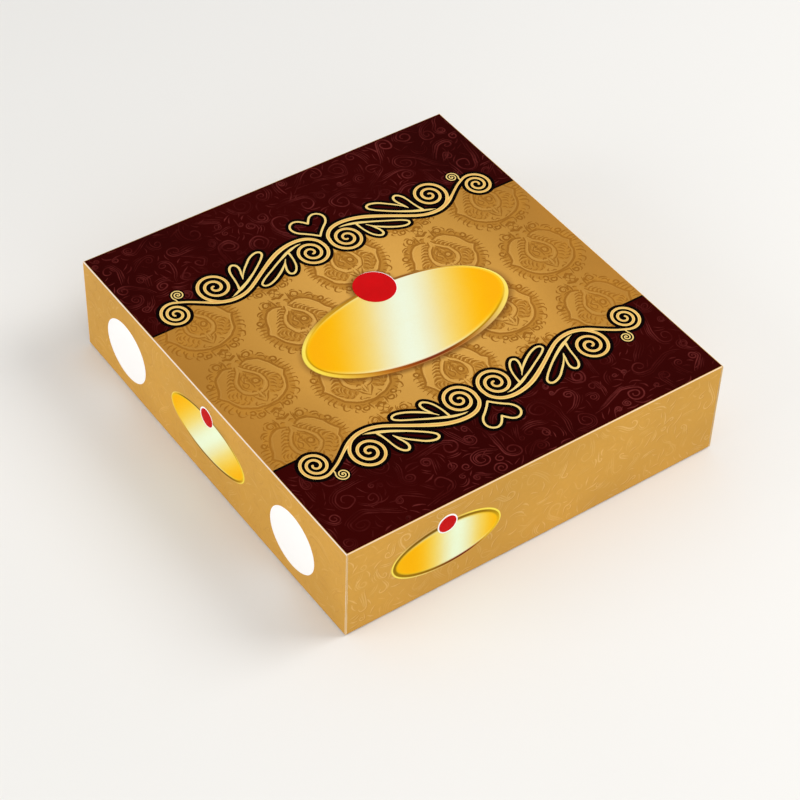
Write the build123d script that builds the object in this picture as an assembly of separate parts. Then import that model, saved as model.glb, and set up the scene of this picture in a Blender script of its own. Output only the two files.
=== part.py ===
from build123d import *
import os

# Full-telescope paperboard sweet box: a printed lid whose skirts come down
# almost to the table, a plain base tray inside it, and a cross divider made of
# two half-lapped strips. Both trays are folded from duplex board, with each
# wall doubled by the board turned in over the rim and the corners held by glue
# tabs, so every flat panel of a blank is one node.
# Row frame: millimetres, +Z up, origin under the middle of the base,
# +X to the right along the front face, +Y towards the back face.

# ---- driving dimensions ---------------------------------------------------
LID_W = 215.0          # lid outside, left to right
LID_D = 230.0          # lid outside, front to back
LID_TOP_Z = 55.0       # upper face of the lid's top panel
T = 0.6                # duplex board
LID_FOOT_Z = 0.6       # lower edge of the lid skirts above the table
FOLD_R = 0.45          # outer radius of a creased edge

LID_HEM_H = 30.0       # height of the board turned in along the lid's rim
LID_HEM_TAPER = 6.0    # how far a lid hem's ends lean in over its height
BASE_HEM_TAPER = 0.6
TAB_L = 18.0           # length of a corner glue tab
TAB_TAPER = 4.0        # how much a tab narrows towards its free end
HEM_GAP = 0.4          # play between a hem and a tab beside it

LINING_T = 0.15        # lining sheets
LINING_PLAY = 0.3      # play around a lining sheet
BASE_GAP = 0.8         # play between lid and base, each side
BASE_RIM_Z = 54.0      # top of the base walls, just under the lid's lining

DIVIDER_T = 0.8
DIVIDER_H = 50.0
DIVIDER_END_GAP = 0.3  # play between a divider's end and the base wall
DIVIDER_FLOAT = 0.1    # height of the divider over the floor lining
DIVIDER_CORNER = 3.0   # clipped upper corners of each strip
SLOT_PLAY = 0.2        # slot width beyond the divider board's thickness

os.makedirs("parts", exist_ok=True)


# ---- helpers --------------------------------------------------------------
def block(x0, x1, y0, y1, z0, z1):
    """Board lying between two corners."""
    b = Box(x1 - x0, y1 - y0, z1 - z0)
    return Pos((x0 + x1) / 2, (y0 + y1) / 2, (z0 + z1) / 2) * b


def edges_at(shape, direction, **at):
    """Straight edges along an axis whose middle lies at the given coordinates."""
    found = []
    for e in shape.edges().filter_by(direction):
        c = e.position_at(0.5)
        if all(abs(getattr(c, k) - v) < 1e-3 for k, v in at.items()):
            found.append(e)
    return found


def prism(plane, points, thickness):
    """A flat polygon on a plane, grown along the plane's normal."""
    with BuildSketch(plane) as s:
        Polygon(*points, align=None)
    return extrude(s.sketch, thickness)


def save(shape, name):
    solid = shape.solids()[0]
    solid.label = name
    export_step(solid, os.path.join("parts", name + ".step"))


def save_group(shapes, name):
    flat = []
    for s in shapes:
        flat.extend(s.solids())
    group = Compound(children=flat)
    group.label = name
    export_step(group, os.path.join("parts", name + ".step"))


# ---- a folded tray: outer walls, turned-in inner walls, corner glue tabs ---
def tray_walls(half_x, half_y, wall_z, hem_z, tabs_z, taper, opens_up):
    """Panels of a glued tray.

    wall_z, hem_z, tabs_z  (low, high) of the outer walls, of the turned-in
    boards and of the corner tabs. The rim is the upper edge of a tray that
    opens up, and the lower edge of one that opens down.
    """
    z0, z1 = wall_z
    rim = z1 if opens_up else z0
    parts = {}
    # front and back walls lie between the other two, and fold round into the tabs
    for name, s in (("front", -1), ("back", 1)):
        ya, yb = sorted((s * half_y, s * (half_y - T)))
        w = block(-half_x + T, half_x - T, ya, yb, z0, z1)
        w = fillet(edges_at(w, Axis.Z, Y=s * half_y), FOLD_R)
        w = fillet(edges_at(w, Axis.X, Y=s * half_y, Z=rim), FOLD_R)
        parts[name + "_wall"] = w
    # left and right walls run the full depth, their cut ends showing at the corners
    for name, s in (("left", -1), ("right", 1)):
        xa, xb = sorted((s * half_x, s * (half_x - T)))
        w = block(xa, xb, -half_y, half_y, z0, z1)
        w = fillet(edges_at(w, Axis.Y, X=s * half_x, Z=rim), FOLD_R)
        parts[name + "_wall"] = w

    # hems: the board folded over the rim and glued to the inside of each wall
    a, b = hem_z

    def hem_points(half):
        if opens_up:
            return [(-half + taper, a), (half - taper, a), (half, b), (-half, b)]
        return [(-half, a), (half, a), (half - taper, b), (-half + taper, b)]

    for name, s in (("front", -1), ("back", 1)):
        y_in = s * (half_y - 2 * T)
        y_face = min(y_in, s * (half_y - T))
        pl = Plane((0, y_face, 0), x_dir=(1, 0, 0), z_dir=(0, -1, 0))
        h = prism(pl, hem_points(half_x - 2 * T - HEM_GAP), -T)
        h = fillet(edges_at(h, Axis.X, Y=y_in, Z=rim), FOLD_R)
        parts[name + "_hem"] = h
    for name, s in (("left", -1), ("right", 1)):
        x_in = s * (half_x - 2 * T)
        x_face = min(x_in, s * (half_x - T))
        pl = Plane((x_face, 0, 0), x_dir=(0, 1, 0), z_dir=(1, 0, 0))
        h = prism(pl, hem_points(half_y - T - TAB_L - HEM_GAP), T)
        h = fillet(edges_at(h, Axis.Y, X=x_in, Z=rim), FOLD_R)
        parts[name + "_hem"] = h

    # corner tabs: ends of the front and back walls, glued inside the other two
    tabs = []
    ta, tb = tabs_z
    for sx in (-1, 1):
        for sy in (-1, 1):
            y_root, y_tip = sy * (half_y - T), sy * (half_y - T - TAB_L)
            x_in = sx * (half_x - 2 * T)
            x_face = min(x_in, sx * (half_x - T))
            pts = [
                (y_root, ta),
                (y_tip, ta + TAB_TAPER),
                (y_tip, tb - TAB_TAPER),
                (y_root, tb),
            ]
            if sy > 0:
                pts = pts[::-1]
            pl = Plane((x_face, 0, 0), x_dir=(0, 1, 0), z_dir=(1, 0, 0))
            tabs.append(prism(pl, pts, T))
    parts["corner_tabs"] = tabs
    return parts


# ---- lid --------------------------------------------------------------------
lx, ly = LID_W / 2, LID_D / 2
top = block(-lx, lx, -ly, ly, LID_TOP_Z - T, LID_TOP_Z)
top = fillet(top.edges().filter_by(Axis.Z), FOLD_R)
top = fillet(top.faces().sort_by(Axis.Z)[-1].edges(), FOLD_R)
save(top, "lid_top_panel")

lid_ceiling = LID_TOP_Z - T - LINING_T
lid = tray_walls(
    lx,
    ly,
    (LID_FOOT_Z, LID_TOP_Z - T),
    (LID_FOOT_Z, LID_FOOT_Z + LID_HEM_H),
    (LID_FOOT_Z + 0.6, lid_ceiling - 0.6),
    LID_HEM_TAPER,
    False,
)
for side in ("front", "back", "left", "right"):
    save(lid[side + "_wall"], "lid_" + side + "_skirt")
    save(lid[side + "_hem"], "lid_" + side + "_hem")
save_group(lid["corner_tabs"], "lid_corner_tabs")

px, py = lx - 2 * T - LINING_PLAY, ly - 2 * T - LINING_PLAY
save(block(-px, px, -py, py, lid_ceiling, LID_TOP_Z - T), "lid_lining_sheet")

# ---- base tray ----------------------------------------------------------------
bx = lx - 2 * T - BASE_GAP
by = ly - 2 * T - BASE_GAP
floor = block(-bx, bx, -by, by, 0, T)
floor = fillet(floor.edges().filter_by(Axis.Z), FOLD_R)
save(floor, "base_floor_panel")
base = tray_walls(
    bx,
    by,
    (T, BASE_RIM_Z),
    (T + LINING_T + 0.25, BASE_RIM_Z),
    (T + LINING_T + 0.25, BASE_RIM_Z - 0.6),
    BASE_HEM_TAPER,
    True,
)
for side in ("front", "back", "left", "right"):
    save(base[side + "_wall"], "base_" + side + "_wall")
    save(base[side + "_hem"], "base_" + side + "_inner_wall")
save_group(base["corner_tabs"], "base_corner_tabs")
fx, fy = bx - T - LINING_PLAY, by - T - LINING_PLAY
save(block(-fx, fx, -fy, fy, T, T + LINING_T), "base_foil_lining")

# ---- cross divider: two half-lapped strips -----------------------------------
div_z0 = T + LINING_T + DIVIDER_FLOAT
div_z1 = div_z0 + DIVIDER_H
len_y = by - 2 * T - DIVIDER_END_GAP
len_x = bx - 2 * T - DIVIDER_END_GAP
mid_z = (div_z0 + div_z1) / 2
half_slot = (DIVIDER_T + SLOT_PLAY) / 2


def strip_points(half, slot_from_top):
    """Outline of a divider strip with a slot through half its height."""
    top_slot = [
        (half_slot, div_z1),
        (half_slot, mid_z - 0.2),
        (-half_slot, mid_z - 0.2),
        (-half_slot, div_z1),
    ]
    low_slot = [
        (-half_slot, div_z0),
        (-half_slot, mid_z + 0.2),
        (half_slot, mid_z + 0.2),
        (half_slot, div_z0),
    ]
    c = DIVIDER_CORNER
    pts = [(-half, div_z0)]
    if not slot_from_top:
        pts += low_slot
    pts += [(half, div_z0), (half, div_z1 - c), (half - c, div_z1)]
    if slot_from_top:
        pts += top_slot
    pts += [(-half + c, div_z1), (-half, div_z1 - c)]
    return pts


long_strip = prism(
    Plane((-DIVIDER_T / 2, 0, 0), x_dir=(0, 1, 0), z_dir=(1, 0, 0)),
    strip_points(len_y, True),
    DIVIDER_T,
)
save(long_strip, "divider_long_strip")
cross_strip = prism(
    Plane((0, DIVIDER_T / 2, 0), x_dir=(1, 0, 0), z_dir=(0, -1, 0)),
    strip_points(len_x, False),
    DIVIDER_T,
)
save(cross_strip, "divider_cross_strip")

print("lid", LID_W, LID_D, LID_TOP_Z, "base", 2 * bx, 2 * by, BASE_RIM_Z)
print("compartment", round(bx - 2 * T, 3), round(by - 2 * T, 3), "inner half sizes")
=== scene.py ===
import math
import random

import bmesh
import bpy
from mathutils import Matrix, Vector, noise


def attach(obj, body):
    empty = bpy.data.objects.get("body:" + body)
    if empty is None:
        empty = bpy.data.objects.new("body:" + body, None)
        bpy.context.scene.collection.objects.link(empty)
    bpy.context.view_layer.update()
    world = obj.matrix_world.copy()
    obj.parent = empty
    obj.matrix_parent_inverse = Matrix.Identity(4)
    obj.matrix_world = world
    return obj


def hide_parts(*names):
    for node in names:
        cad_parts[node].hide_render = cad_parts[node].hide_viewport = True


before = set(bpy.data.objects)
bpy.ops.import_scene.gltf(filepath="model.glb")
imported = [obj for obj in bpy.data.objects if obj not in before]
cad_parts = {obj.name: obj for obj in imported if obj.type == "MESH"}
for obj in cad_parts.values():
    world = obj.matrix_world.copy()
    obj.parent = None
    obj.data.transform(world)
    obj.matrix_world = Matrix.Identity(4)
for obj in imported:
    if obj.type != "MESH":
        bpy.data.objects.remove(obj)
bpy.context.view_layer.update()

# All lengths below are millimetres until a mesh is made.
HX, HY, HZ = 107.5, 115.0, 55.0      # lid: half width, half depth, top face
T = 0.6                              # board
FOOT = 0.6                           # lower edge of the lid's skirts
BX, BY, BZ = 105.5, 113.0, 54.0      # base tray: half width, half depth, rim


# ---------------------------------------------------------------------------
# colours and materials
# ---------------------------------------------------------------------------
def srgb(r, g, b):
    def one(c):
        c /= 255.0
        return c / 12.92 if c <= 0.04045 else ((c + 0.055) / 1.055) ** 2.4
    return (one(r), one(g), one(b), 1.0)


class Mat:
    """A node material under construction."""

    def __init__(self, name, roughness=0.5, metallic=0.0, coat=0.0, coat_rough=0.1, sheen=0.0, ior=1.5, spec=0.5):
        self.m = bpy.data.materials.new(name)
        self.m.use_nodes = True
        self.t = self.m.node_tree
        self.t.nodes.clear()
        self.out = self.t.nodes.new("ShaderNodeOutputMaterial")
        self.b = self.t.nodes.new("ShaderNodeBsdfPrincipled")
        self.t.links.new(self.b.outputs[0], self.out.inputs[0])
        self.tc = self.t.nodes.new("ShaderNodeTexCoord")
        self.co = self.tc.outputs["Object"]
        self.b.inputs["Roughness"].default_value = roughness
        self.b.inputs["Metallic"].default_value = metallic
        self.b.inputs["Coat Weight"].default_value = coat
        self.b.inputs["Coat Roughness"].default_value = coat_rough
        self.b.inputs["Sheen Weight"].default_value = sheen
        self.b.inputs["IOR"].default_value = ior
        self.b.inputs["Specular IOR Level"].default_value = spec

    def put(self, socket, value):
        if isinstance(value, bpy.types.NodeSocket):
            self.t.links.new(value, socket)
        else:
            if socket.type == "RGBA" and len(value) == 3:
                value = (*value, 1.0)
            socket.default_value = value

    def set(self, name, value):
        self.put(self.b.inputs[name], value)
        return self

    def math(self, op, a, b=0.0, c=0.0, clamp=False):
        n = self.t.nodes.new("ShaderNodeMath")
        n.operation = op
        n.use_clamp = clamp
        self.put(n.inputs[0], a)
        self.put(n.inputs[1], b)
        self.put(n.inputs[2], c)
        return n.outputs[0]

    def mix(self, fac, a, b, blend="MIX"):
        n = self.t.nodes.new("ShaderNodeMix")
        n.data_type = "RGBA"
        n.blend_type = blend
        self.put(n.inputs[0], fac)
        self.put(n.inputs[6], a)
        self.put(n.inputs[7], b)
        return n.outputs[2]

    def noise(self, scale, detail=3.0, rough=0.55, distortion=0.0, co=None):
        n = self.t.nodes.new("ShaderNodeTexNoise")
        self.put(n.inputs["Vector"], self.co if co is None else co)
        n.inputs["Scale"].default_value = scale
        n.inputs["Detail"].default_value = detail
        n.inputs["Roughness"].default_value = rough
        n.inputs["Distortion"].default_value = distortion
        return n.outputs["Fac"]

    def voronoi(self, scale, feature="F1", co=None, randomness=1.0):
        n = self.t.nodes.new("ShaderNodeTexVoronoi")
        n.feature = feature
        self.put(n.inputs["Vector"], self.co if co is None else co)
        n.inputs["Scale"].default_value = scale
        n.inputs["Randomness"].default_value = randomness
        return n.outputs["Distance"]

    def stretch(self, sx, sy, sz, loc=(0, 0, 0), rot=(0, 0, 0)):
        n = self.t.nodes.new("ShaderNodeMapping")
        self.put(n.inputs["Vector"], self.co)
        n.inputs["Location"].default_value = loc
        n.inputs["Rotation"].default_value = rot
        n.inputs["Scale"].default_value = (sx, sy, sz)
        return n.outputs[0]

    def remap(self, x, a0, a1, b0=0.0, b1=1.0, smooth=False):
        n = self.t.nodes.new("ShaderNodeMapRange")
        n.clamp = True
        if smooth:
            n.interpolation_type = "SMOOTHSTEP"
        self.put(n.inputs[0], x)
        for i, v in enumerate((a0, a1, b0, b1)):
            n.inputs[i + 1].default_value = v
        return n.outputs[0]

    def ramp(self, fac, stops):
        n = self.t.nodes.new("ShaderNodeValToRGB")
        self.put(n.inputs[0], fac)
        e = n.color_ramp.elements
        while len(e) < len(stops):
            e.new(0.5)
        for k, (p, c) in enumerate(stops):
            e[k].position = p
            e[k].color = c
        return n.outputs[0]

    def attr(self, name):
        n = self.t.nodes.new("ShaderNodeAttribute")
        n.attribute_name = name
        return n.outputs["Fac"]

    def xyz(self):
        n = self.t.nodes.new("ShaderNodeSeparateXYZ")
        self.put(n.inputs[0], self.co)
        return n.outputs[0], n.outputs[1], n.outputs[2]

    def bump(self, height, strength, distance, normal=None):
        n = self.t.nodes.new("ShaderNodeBump")
        n.inputs["Strength"].default_value = strength
        n.inputs["Distance"].default_value = distance
        self.put(n.inputs["Height"], height)
        if normal is not None:
            self.put(n.inputs["Normal"], normal)
        return n.outputs[0]


OVAL = (0.29, -7.2, 57.05, 29.1)     # large oval on the lid: centre x, y and half sizes
SEAL = (0.86, 20.7, 11.0)            # red spot on it: centre x, y and radius
# colour of the fold marks: the pale board core where worn, and painted highlight along the folds
WORN_AND_HIGHLIGHT = srgb(247, 231, 216)


def scaled(c, k):
    return (c[0] * k, c[1] * k, c[2] * k, 1.0)


def around(m, cx, cy, rx, ry):
    """How far a point of the lid's top lies from an ellipse's middle, in its own radii."""
    x, y, z = m.xyz()
    dx = m.math("DIVIDE", m.math("SUBTRACT", x, cx * 0.001), rx * 0.001)
    dy = m.math("DIVIDE", m.math("SUBTRACT", y, cy * 0.001), ry * 0.001)
    return m.math("SQRT", m.math("ADD", m.math("MULTIPLY", dx, dx), m.math("MULTIPLY", dy, dy)))


def print_tone(m, base, vary=0.10, shadow=False, painted_light=False, mottle=0.30):
    """Ink on coated board: slow drifts in tone, a faint press mottle and fine fibre, and when asked a painted pool of
    light and a painted shadow.
    """
    slow = m.noise(16.0, 2.0, 0.5)
    c = m.mix(m.remap(slow, 0.3, 0.7, 0.0, 1.0, True), scaled(base, 1.0 - vary), scaled(base, 1.0 + vary * 0.75))
    c = m.mix(m.remap(m.noise(420.0, 4.0, 0.6), 0.35, 0.75, 0.0, mottle), c, scaled(base, 0.86))
    fibre = m.noise(2600.0, 2.0, 0.6, co=m.stretch(1.0, 0.35, 1.0))
    c = m.mix(m.remap(fibre, 0.55, 0.8, 0.0, 0.22), c, scaled(base, 1.16))
    if painted_light:
        # painted light: the ground is palest around the oval, a painted pool of light, and turns browner towards both
        # ends as painted shade
        q = around(m, 0.0, 0.0, 107.5, 150.0)
        c = m.mix(1.0, c, m.ramp(m.remap(q, 0.1, 1.1), [(0.0, (1.05, 1.06, 1.06, 1.0)), (0.18, (1.025, 1.02, 0.99, 1.0)), (0.5, (0.905, 0.86, 0.735, 1.0)), (0.8, (0.70, 0.61, 0.435, 1.0)), (1.0, (0.63, 0.53, 0.35, 1.0))]), "MULTIPLY")
    if shadow:
        # painted shadow: a soft dark halo around the large oval and its red spot, as if cast by them
        r = around(m, OVAL[0] + 0.1, OVAL[1] - 1.1, OVAL[2] - 0.5, OVAL[3] - 0.2)
        q = around(m, SEAL[0] - 0.6, SEAL[1] + 0.3, SEAL[2], SEAL[2])
        soft = m.math("MAXIMUM", m.remap(r, 0.985, 1.085, 0.66, 0.0, True), m.remap(q, 0.95, 1.32, 0.62, 0.0, True))
        x, y, z = m.xyz()
        c = m.mix(m.math("MULTIPLY", soft, m.remap(z, 0.0545, 0.0549)), c, srgb(104, 60, 14))
    return c


def print_surface(m, rough=0.46, bump=0.22):
    """Film-laminated gloss: roughness drifts, orange peel and a few rubbed spots."""
    peel = m.noise(900.0, 3.0, 0.5)
    rub = m.noise(60.0, 5.0, 0.65)
    r = m.math("ADD", m.remap(peel, 0.3, 0.7, rough - 0.05, rough + 0.05), m.remap(rub, 0.5, 0.75, 0.0, 0.10))
    m.set("Roughness", r)
    fine = m.noise(3800.0, 2.0, 0.5)
    h = m.math("ADD", m.math("MULTIPLY", peel, 0.7), m.math("MULTIPLY", fine, 0.3))
    m.set("Normal", m.bump(h, bump, 0.00006))
    return m


def printed(name, base, vary=0.10, wear_and_highlight=None, shadow=False, rough=0.46, coat=0.0, spec=0.07, painted_light=False, mottle=0.30, worn_and_highlight=WORN_AND_HIGHLIGHT):
    m = Mat(name, coat=coat, coat_rough=0.24, spec=spec)
    c = print_tone(m, base, vary, shadow, painted_light, mottle)
    if wear_and_highlight is not None:
        # the fold marks are partly worn board, its pale core showing at the creases, and partly painted highlight along
        # the folds; near lightens the print beside each fold as painted highlight
        edge = m.attr("fold")
        ragged = m.noise(520.0, 5.0, 0.7)
        broad = m.noise(70.0, 3.0, 0.6)
        level = m.math("ADD", edge, m.math("ADD", m.math("MULTIPLY", m.math("SUBTRACT", ragged, 0.5), wear_and_highlight),
                                           m.math("MULTIPLY", m.math("SUBTRACT", broad, 0.5), wear_and_highlight * 0.9)))
        bare = m.remap(level, 0.50, 0.58)
        near = m.remap(level, 0.36, 0.55, 0.0, 0.35)
        c = m.mix(near, c, scaled(base, 1.35))
        c = m.mix(bare, c, m.mix(m.noise(1500.0, 3.0, 0.7), scaled(worn_and_highlight, 0.82), worn_and_highlight))
    m.set("Base Color", c)
    print_surface(m, rough)
    return m.m


def plain_board(name, base, dark, rough=0.8, speck=0.35, bump=0.35):
    """Uncoated side of duplex board: grey-brown flecks, felt marks, soft fibre relief."""
    m = Mat(name)
    c = m.mix(m.remap(m.noise(22.0, 3.0, 0.6), 0.3, 0.7, 0.0, 1.0, True), base, scaled(base, 0.93))
    fleck = m.noise(1300.0, 5.0, 0.75, co=m.stretch(1.0, 0.45, 1.0, rot=(0.3, 0.2, 0.5)))
    c = m.mix(m.remap(fleck, 0.60, 0.72, 0.0, speck), c, dark)
    felt = m.noise(320.0, 4.0, 0.6)
    c = m.mix(m.remap(felt, 0.4, 0.7, 0.0, 0.25), c, scaled(base, 0.88))
    m.set("Base Color", c)
    m.set("Roughness", m.remap(felt, 0.3, 0.7, rough - 0.06, rough + 0.08))
    h = m.math("ADD", m.math("MULTIPLY", fleck, 0.5), m.math("MULTIPLY", felt, 0.5))
    m.set("Normal", m.bump(h, bump, 0.00012))
    return m.m


def core_edge(name, pale=srgb(236, 229, 206), grey=srgb(196, 182, 146)):
    """Cut edge of the board: pulp layers, lighter outside and greyer in the middle."""
    m = Mat(name, roughness=0.86)
    layers = m.noise(900.0, 4.0, 0.7, co=m.stretch(1.0, 1.0, 0.12))
    c = m.mix(m.remap(layers, 0.35, 0.7), pale, grey)
    c = m.mix(m.remap(m.noise(2400.0, 3.0, 0.7), 0.6, 0.75, 0.0, 0.5), c, srgb(160, 144, 112))
    m.set("Base Color", c)
    m.set("Normal", m.bump(layers, 0.5, 0.0001))
    return m.m


def soft_sides(m, c, ground, start=0.22, reach=0.94):
    """Lets a line's ink run out into its ground towards both sides."""
    side = m.math("ABSOLUTE", m.attr("across"))
    return m.mix(m.remap(side, start, 1.0, 0.0, reach, True), c, ground)


def soft_ink(name, base, ground, vary=0.10):
    """A tint of the board's own print, soft at its edges."""
    m = Mat(name, coat=0.0, coat_rough=0.24, spec=0.07)
    m.set("Base Color", soft_sides(m, print_tone(m, base, vary), print_tone(m, ground, 0.07)))
    print_surface(m, 0.46)
    return m.m


def fading_ink(name, low, high, ground):
    """Tone-on-tone ink that comes and goes along its lines, as if it caught the light."""
    m = Mat(name, spec=0.014)
    slow = m.noise(60.0, 3.0, 0.6)
    c = m.mix(m.remap(slow, 0.36, 0.66, 0.0, 1.0, True), low, high)
    c = m.mix(m.remap(m.noise(520.0, 3.0, 0.6), 0.4, 0.7, 0.0, 0.4), c, scaled(low, 1.2))
    c = m.mix(m.remap(m.noise(2600.0, 2.0, 0.6), 0.55, 0.8, 0.0, 0.3), c, scaled(high, 1.2))
    m.set("Base Color", soft_sides(m, c, print_tone(m, ground, 0.22)))
    print_surface(m, 0.42)
    return m.m


GOLD = srgb(206, 154, 72)
GOLD_SIDE = srgb(208, 156, 67)
MAROON = srgb(50, 2, 1)

M_TOP = printed("top_gold_print", GOLD, 0.08, wear_and_highlight=0.34, shadow=True, painted_light=True)
M_SIDE = printed("skirt_gold_print", GOLD_SIDE, 0.07, wear_and_highlight=0.34)
M_ACROSS = printed("front_gold_print", GOLD_SIDE, 0.07, wear_and_highlight=0.34, worn_and_highlight=srgb(243, 214, 176))
M_MAROON = printed("maroon_print", MAROON, 0.22, wear_and_highlight=0.34, rough=0.5, spec=0.014)
M_DAMASK_FILL = printed("damask_fill_ink", srgb(178, 123, 43), 0.08, shadow=True)
M_DAMASK_DARK = printed("damask_fringe_ink", srgb(152, 98, 24), 0.10, shadow=True)
M_DAMASK_MID = printed("damask_line_ink", srgb(156, 102, 28), 0.10, shadow=True)
M_DAMASK_LIGHT = printed("damask_light_ink", srgb(211, 160, 80), 0.06, shadow=True, painted_light=True)
M_MAROON_LINE = fading_ink("maroon_filigree_ink", srgb(60, 8, 7), srgb(100, 37, 35), MAROON)
M_SIDE_LIGHT = soft_ink("skirt_filigree_light", srgb(221, 175, 98), GOLD_SIDE)
M_SIDE_DARK = soft_ink("skirt_filigree_dark", srgb(199, 145, 62), GOLD_SIDE)
M_SIDE_FAINT = soft_ink("skirt_filigree_faint", srgb(215, 166, 84), GOLD_SIDE, 0.08)
M_SIDE_FAINT_DARK = soft_ink("skirt_filigree_faint_dark", srgb(203, 150, 64), GOLD_SIDE, 0.08)
M_BLACK = printed("black_ink", srgb(8, 2, 2), 0.3, rough=0.55, spec=0.012)
M_WHITE = printed("white_ink", srgb(255, 255, 255), 0.004, rough=0.5, spec=0.2, mottle=0.05)
M_GREY_BACK = plain_board("board_grey_back", srgb(205, 198, 186), srgb(120, 108, 92))
M_WHITE_BOARD = plain_board("board_white_side", srgb(236, 232, 224), srgb(178, 168, 150), rough=0.7, speck=0.22, bump=0.25)
M_DIVIDER = plain_board("divider_board", srgb(228, 221, 207), srgb(158, 140, 112), rough=0.75, speck=0.38)
M_CORE = core_edge("board_cut_edge")
M_CORNER = core_edge("lid_corner_edge", srgb(224, 190, 122), srgb(198, 154, 84))


def scroll_gold(name, tones, deep):
    """Foil-like gold of the scrolls: pale rims, a tan middle, brighter on the crowns."""
    m = Mat(name, metallic=0.0, coat=0.06, coat_rough=0.2, spec=0.2)
    u = m.attr("across")
    a = m.math("ABSOLUTE", u)
    c = m.ramp(a, [(p, srgb(*t)) for p, t in zip((0.0, 0.40, 0.74, 1.0), tones)])
    drift = m.noise(120.0, 3.0, 0.6)
    c = m.mix(m.remap(drift, 0.35, 0.7, 0.0, 0.30), c, deep)
    c = m.mix(m.remap(m.noise(2200.0, 3.0, 0.6), 0.55, 0.8, 0.0, 0.22), c, srgb(255, 236, 180))
    m.set("Base Color", c)
    peel = m.noise(1400.0, 3.0, 0.5)
    m.set("Roughness", m.remap(peel, 0.3, 0.7, 0.32, 0.44))
    m.set("Normal", m.bump(peel, 0.2, 0.00005))
    return m.m


M_SCROLL = scroll_gold("scroll_gold_foil", ((224, 168, 88), (230, 178, 95), (250, 222, 130), (242, 204, 106)), srgb(214, 156, 76))
M_SCROLL_THIN = scroll_gold("scroll_pale_foil", ((232, 190, 108), (237, 200, 116), (249, 228, 146), (238, 210, 122)), srgb(226, 182, 98))


# ---------------------------------------------------------------------------
# mesh building
# ---------------------------------------------------------------------------
def top(x, y, h):
    return (x, y, HZ + h)


def front(a, z, h):
    return (a, -HY - h, z)


def back(a, z, h):
    return (-a, HY + h, z)


def left(a, z, h):
    return (-HX - h, -a, z)


def right(a, z, h):
    return (HX + h, a, z)


SIDES = {"front": (front, HX), "back": (back, HX), "left": (left, HY), "right": (right, HY)}
BOW = {"front": 0.26, "back": 0.40, "left": 0.30, "right": 0.34}


def lid_shape(p):
    """The folded lid is never quite flat: its top is a little crowned and its skirts bow out."""
    x, y, z = p
    fx = max(0.0, 1.0 - (x / HX) ** 2)
    fy = max(0.0, 1.0 - (y / HY) ** 2)
    t = min(1.0, max(0.0, (HZ - z) / (HZ - FOOT)))
    g = t * (2.0 - t)
    dx = dy = dz = 0.0
    if z > 50.0:
        dz = 0.34 * fx * fy + 0.07 * fx * fy * math.sin(x / 23.0 + 0.7) * math.sin(y / 29.0 + 1.9)
    if abs(x) > 104.0:
        s = 1.0 if x > 0 else -1.0
        b = BOW["right"] if x > 0 else BOW["left"]
        dx = s * g * (b * fy + 0.05 * fy * math.sin(y / 17.0 + s))
    if abs(y) > 112.0:
        s = 1.0 if y > 0 else -1.0
        b = BOW["back"] if y > 0 else BOW["front"]
        dy = s * g * (b * fx + 0.05 * fx * math.sin(x / 19.0 - s))
    return (x + dx, y + dy, z + dz)


class Build:
    """Vertices, faces and point values of one piece, in millimetres."""

    def __init__(self, place=None, shape=None):
        self.v, self.f, self.m, self.plan = [], [], [], []
        self.values, self.tints = {}, {}
        self.place, self.shape = place, shape

    def vert(self, p, tint=None, **values):
        i = len(self.v)
        self.v.append(p)
        self.plan.append(p[:2])
        if tint is not None:
            self.tints[i] = tint
        for k, val in values.items():
            self.values.setdefault(k, {})[i] = val
        return i

    def face(self, ids, mat=0):
        self.f.append(tuple(ids))
        self.m.append(mat)

    def absorb(self, other, shift):
        """Takes in another piece's mesh, its texture plan moved by shift."""
        n = len(self.v)
        self.v += [other.place(*p) for p in other.v]
        self.plan += [(p[0] + shift[0], p[1] + shift[1]) for p in other.plan]
        self.f += [tuple(i + n for i in f) for f in other.f]
        self.m += other.m
        for k, vals in other.values.items():
            self.values.setdefault(k, {}).update({i + n: val for i, val in vals.items()})

    def make(self, name, mats, body, replaces=(), smooth=30.0, flat_map=False):
        pts = self.v
        if self.place is not None:
            pts = [self.place(*p) for p in pts]
        if self.shape is not None:
            pts = [self.shape(p) for p in pts]
        me = bpy.data.meshes.new(name)
        me.from_pydata([(x * 0.001, y * 0.001, z * 0.001) for x, y, z in pts], [], self.f)
        for m in mats:
            me.materials.append(m)
        me.polygons.foreach_set("material_index", self.m)
        for k, vals in self.values.items():
            at = me.attributes.new(k, "FLOAT", "POINT")
            data = [0.0] * len(self.v)
            for i, val in vals.items():
                data[i] = val
            at.data.foreach_set("value", data)
        if self.tints:
            at = me.color_attributes.new("tint", "FLOAT_COLOR", "POINT")
            data = []
            for i in range(len(self.v)):
                data += self.tints[i]
            at.data.foreach_set("color", data)
        if flat_map:
            # a plan view of the piece as its texture map
            xs, ys = [p[0] for p in self.plan], [p[1] for p in self.plan]
            x0, y0, w, d = min(xs), min(ys), max(xs) - min(xs), max(ys) - min(ys)
            flat = [(0.004 + 0.992 * (p[0] - x0) / w, 0.004 + 0.992 * (p[1] - y0) / d) for p in self.plan]
            layer = me.uv_layers.new(name="OFBake")
            data = []
            for f in self.f:
                for i in f:
                    data += flat[i]
            layer.uv.foreach_set("vector", data)
        bm = bmesh.new()
        bm.from_mesh(me)
        bmesh.ops.recalc_face_normals(bm, faces=bm.faces)
        if smooth is not None:
            lim = math.radians(smooth)
            for f in bm.faces:
                f.smooth = True
            for e in bm.edges:
                if len(e.link_faces) == 2 and e.calc_face_angle(0.0) > lim:
                    e.smooth = False
        bm.to_mesh(me)
        bm.free()
        me.update()
        ob = bpy.data.objects.new(name, me)
        bpy.context.scene.collection.objects.link(ob)
        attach(ob, body)
        if replaces:
            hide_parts(*replaces)
        return ob


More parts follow.
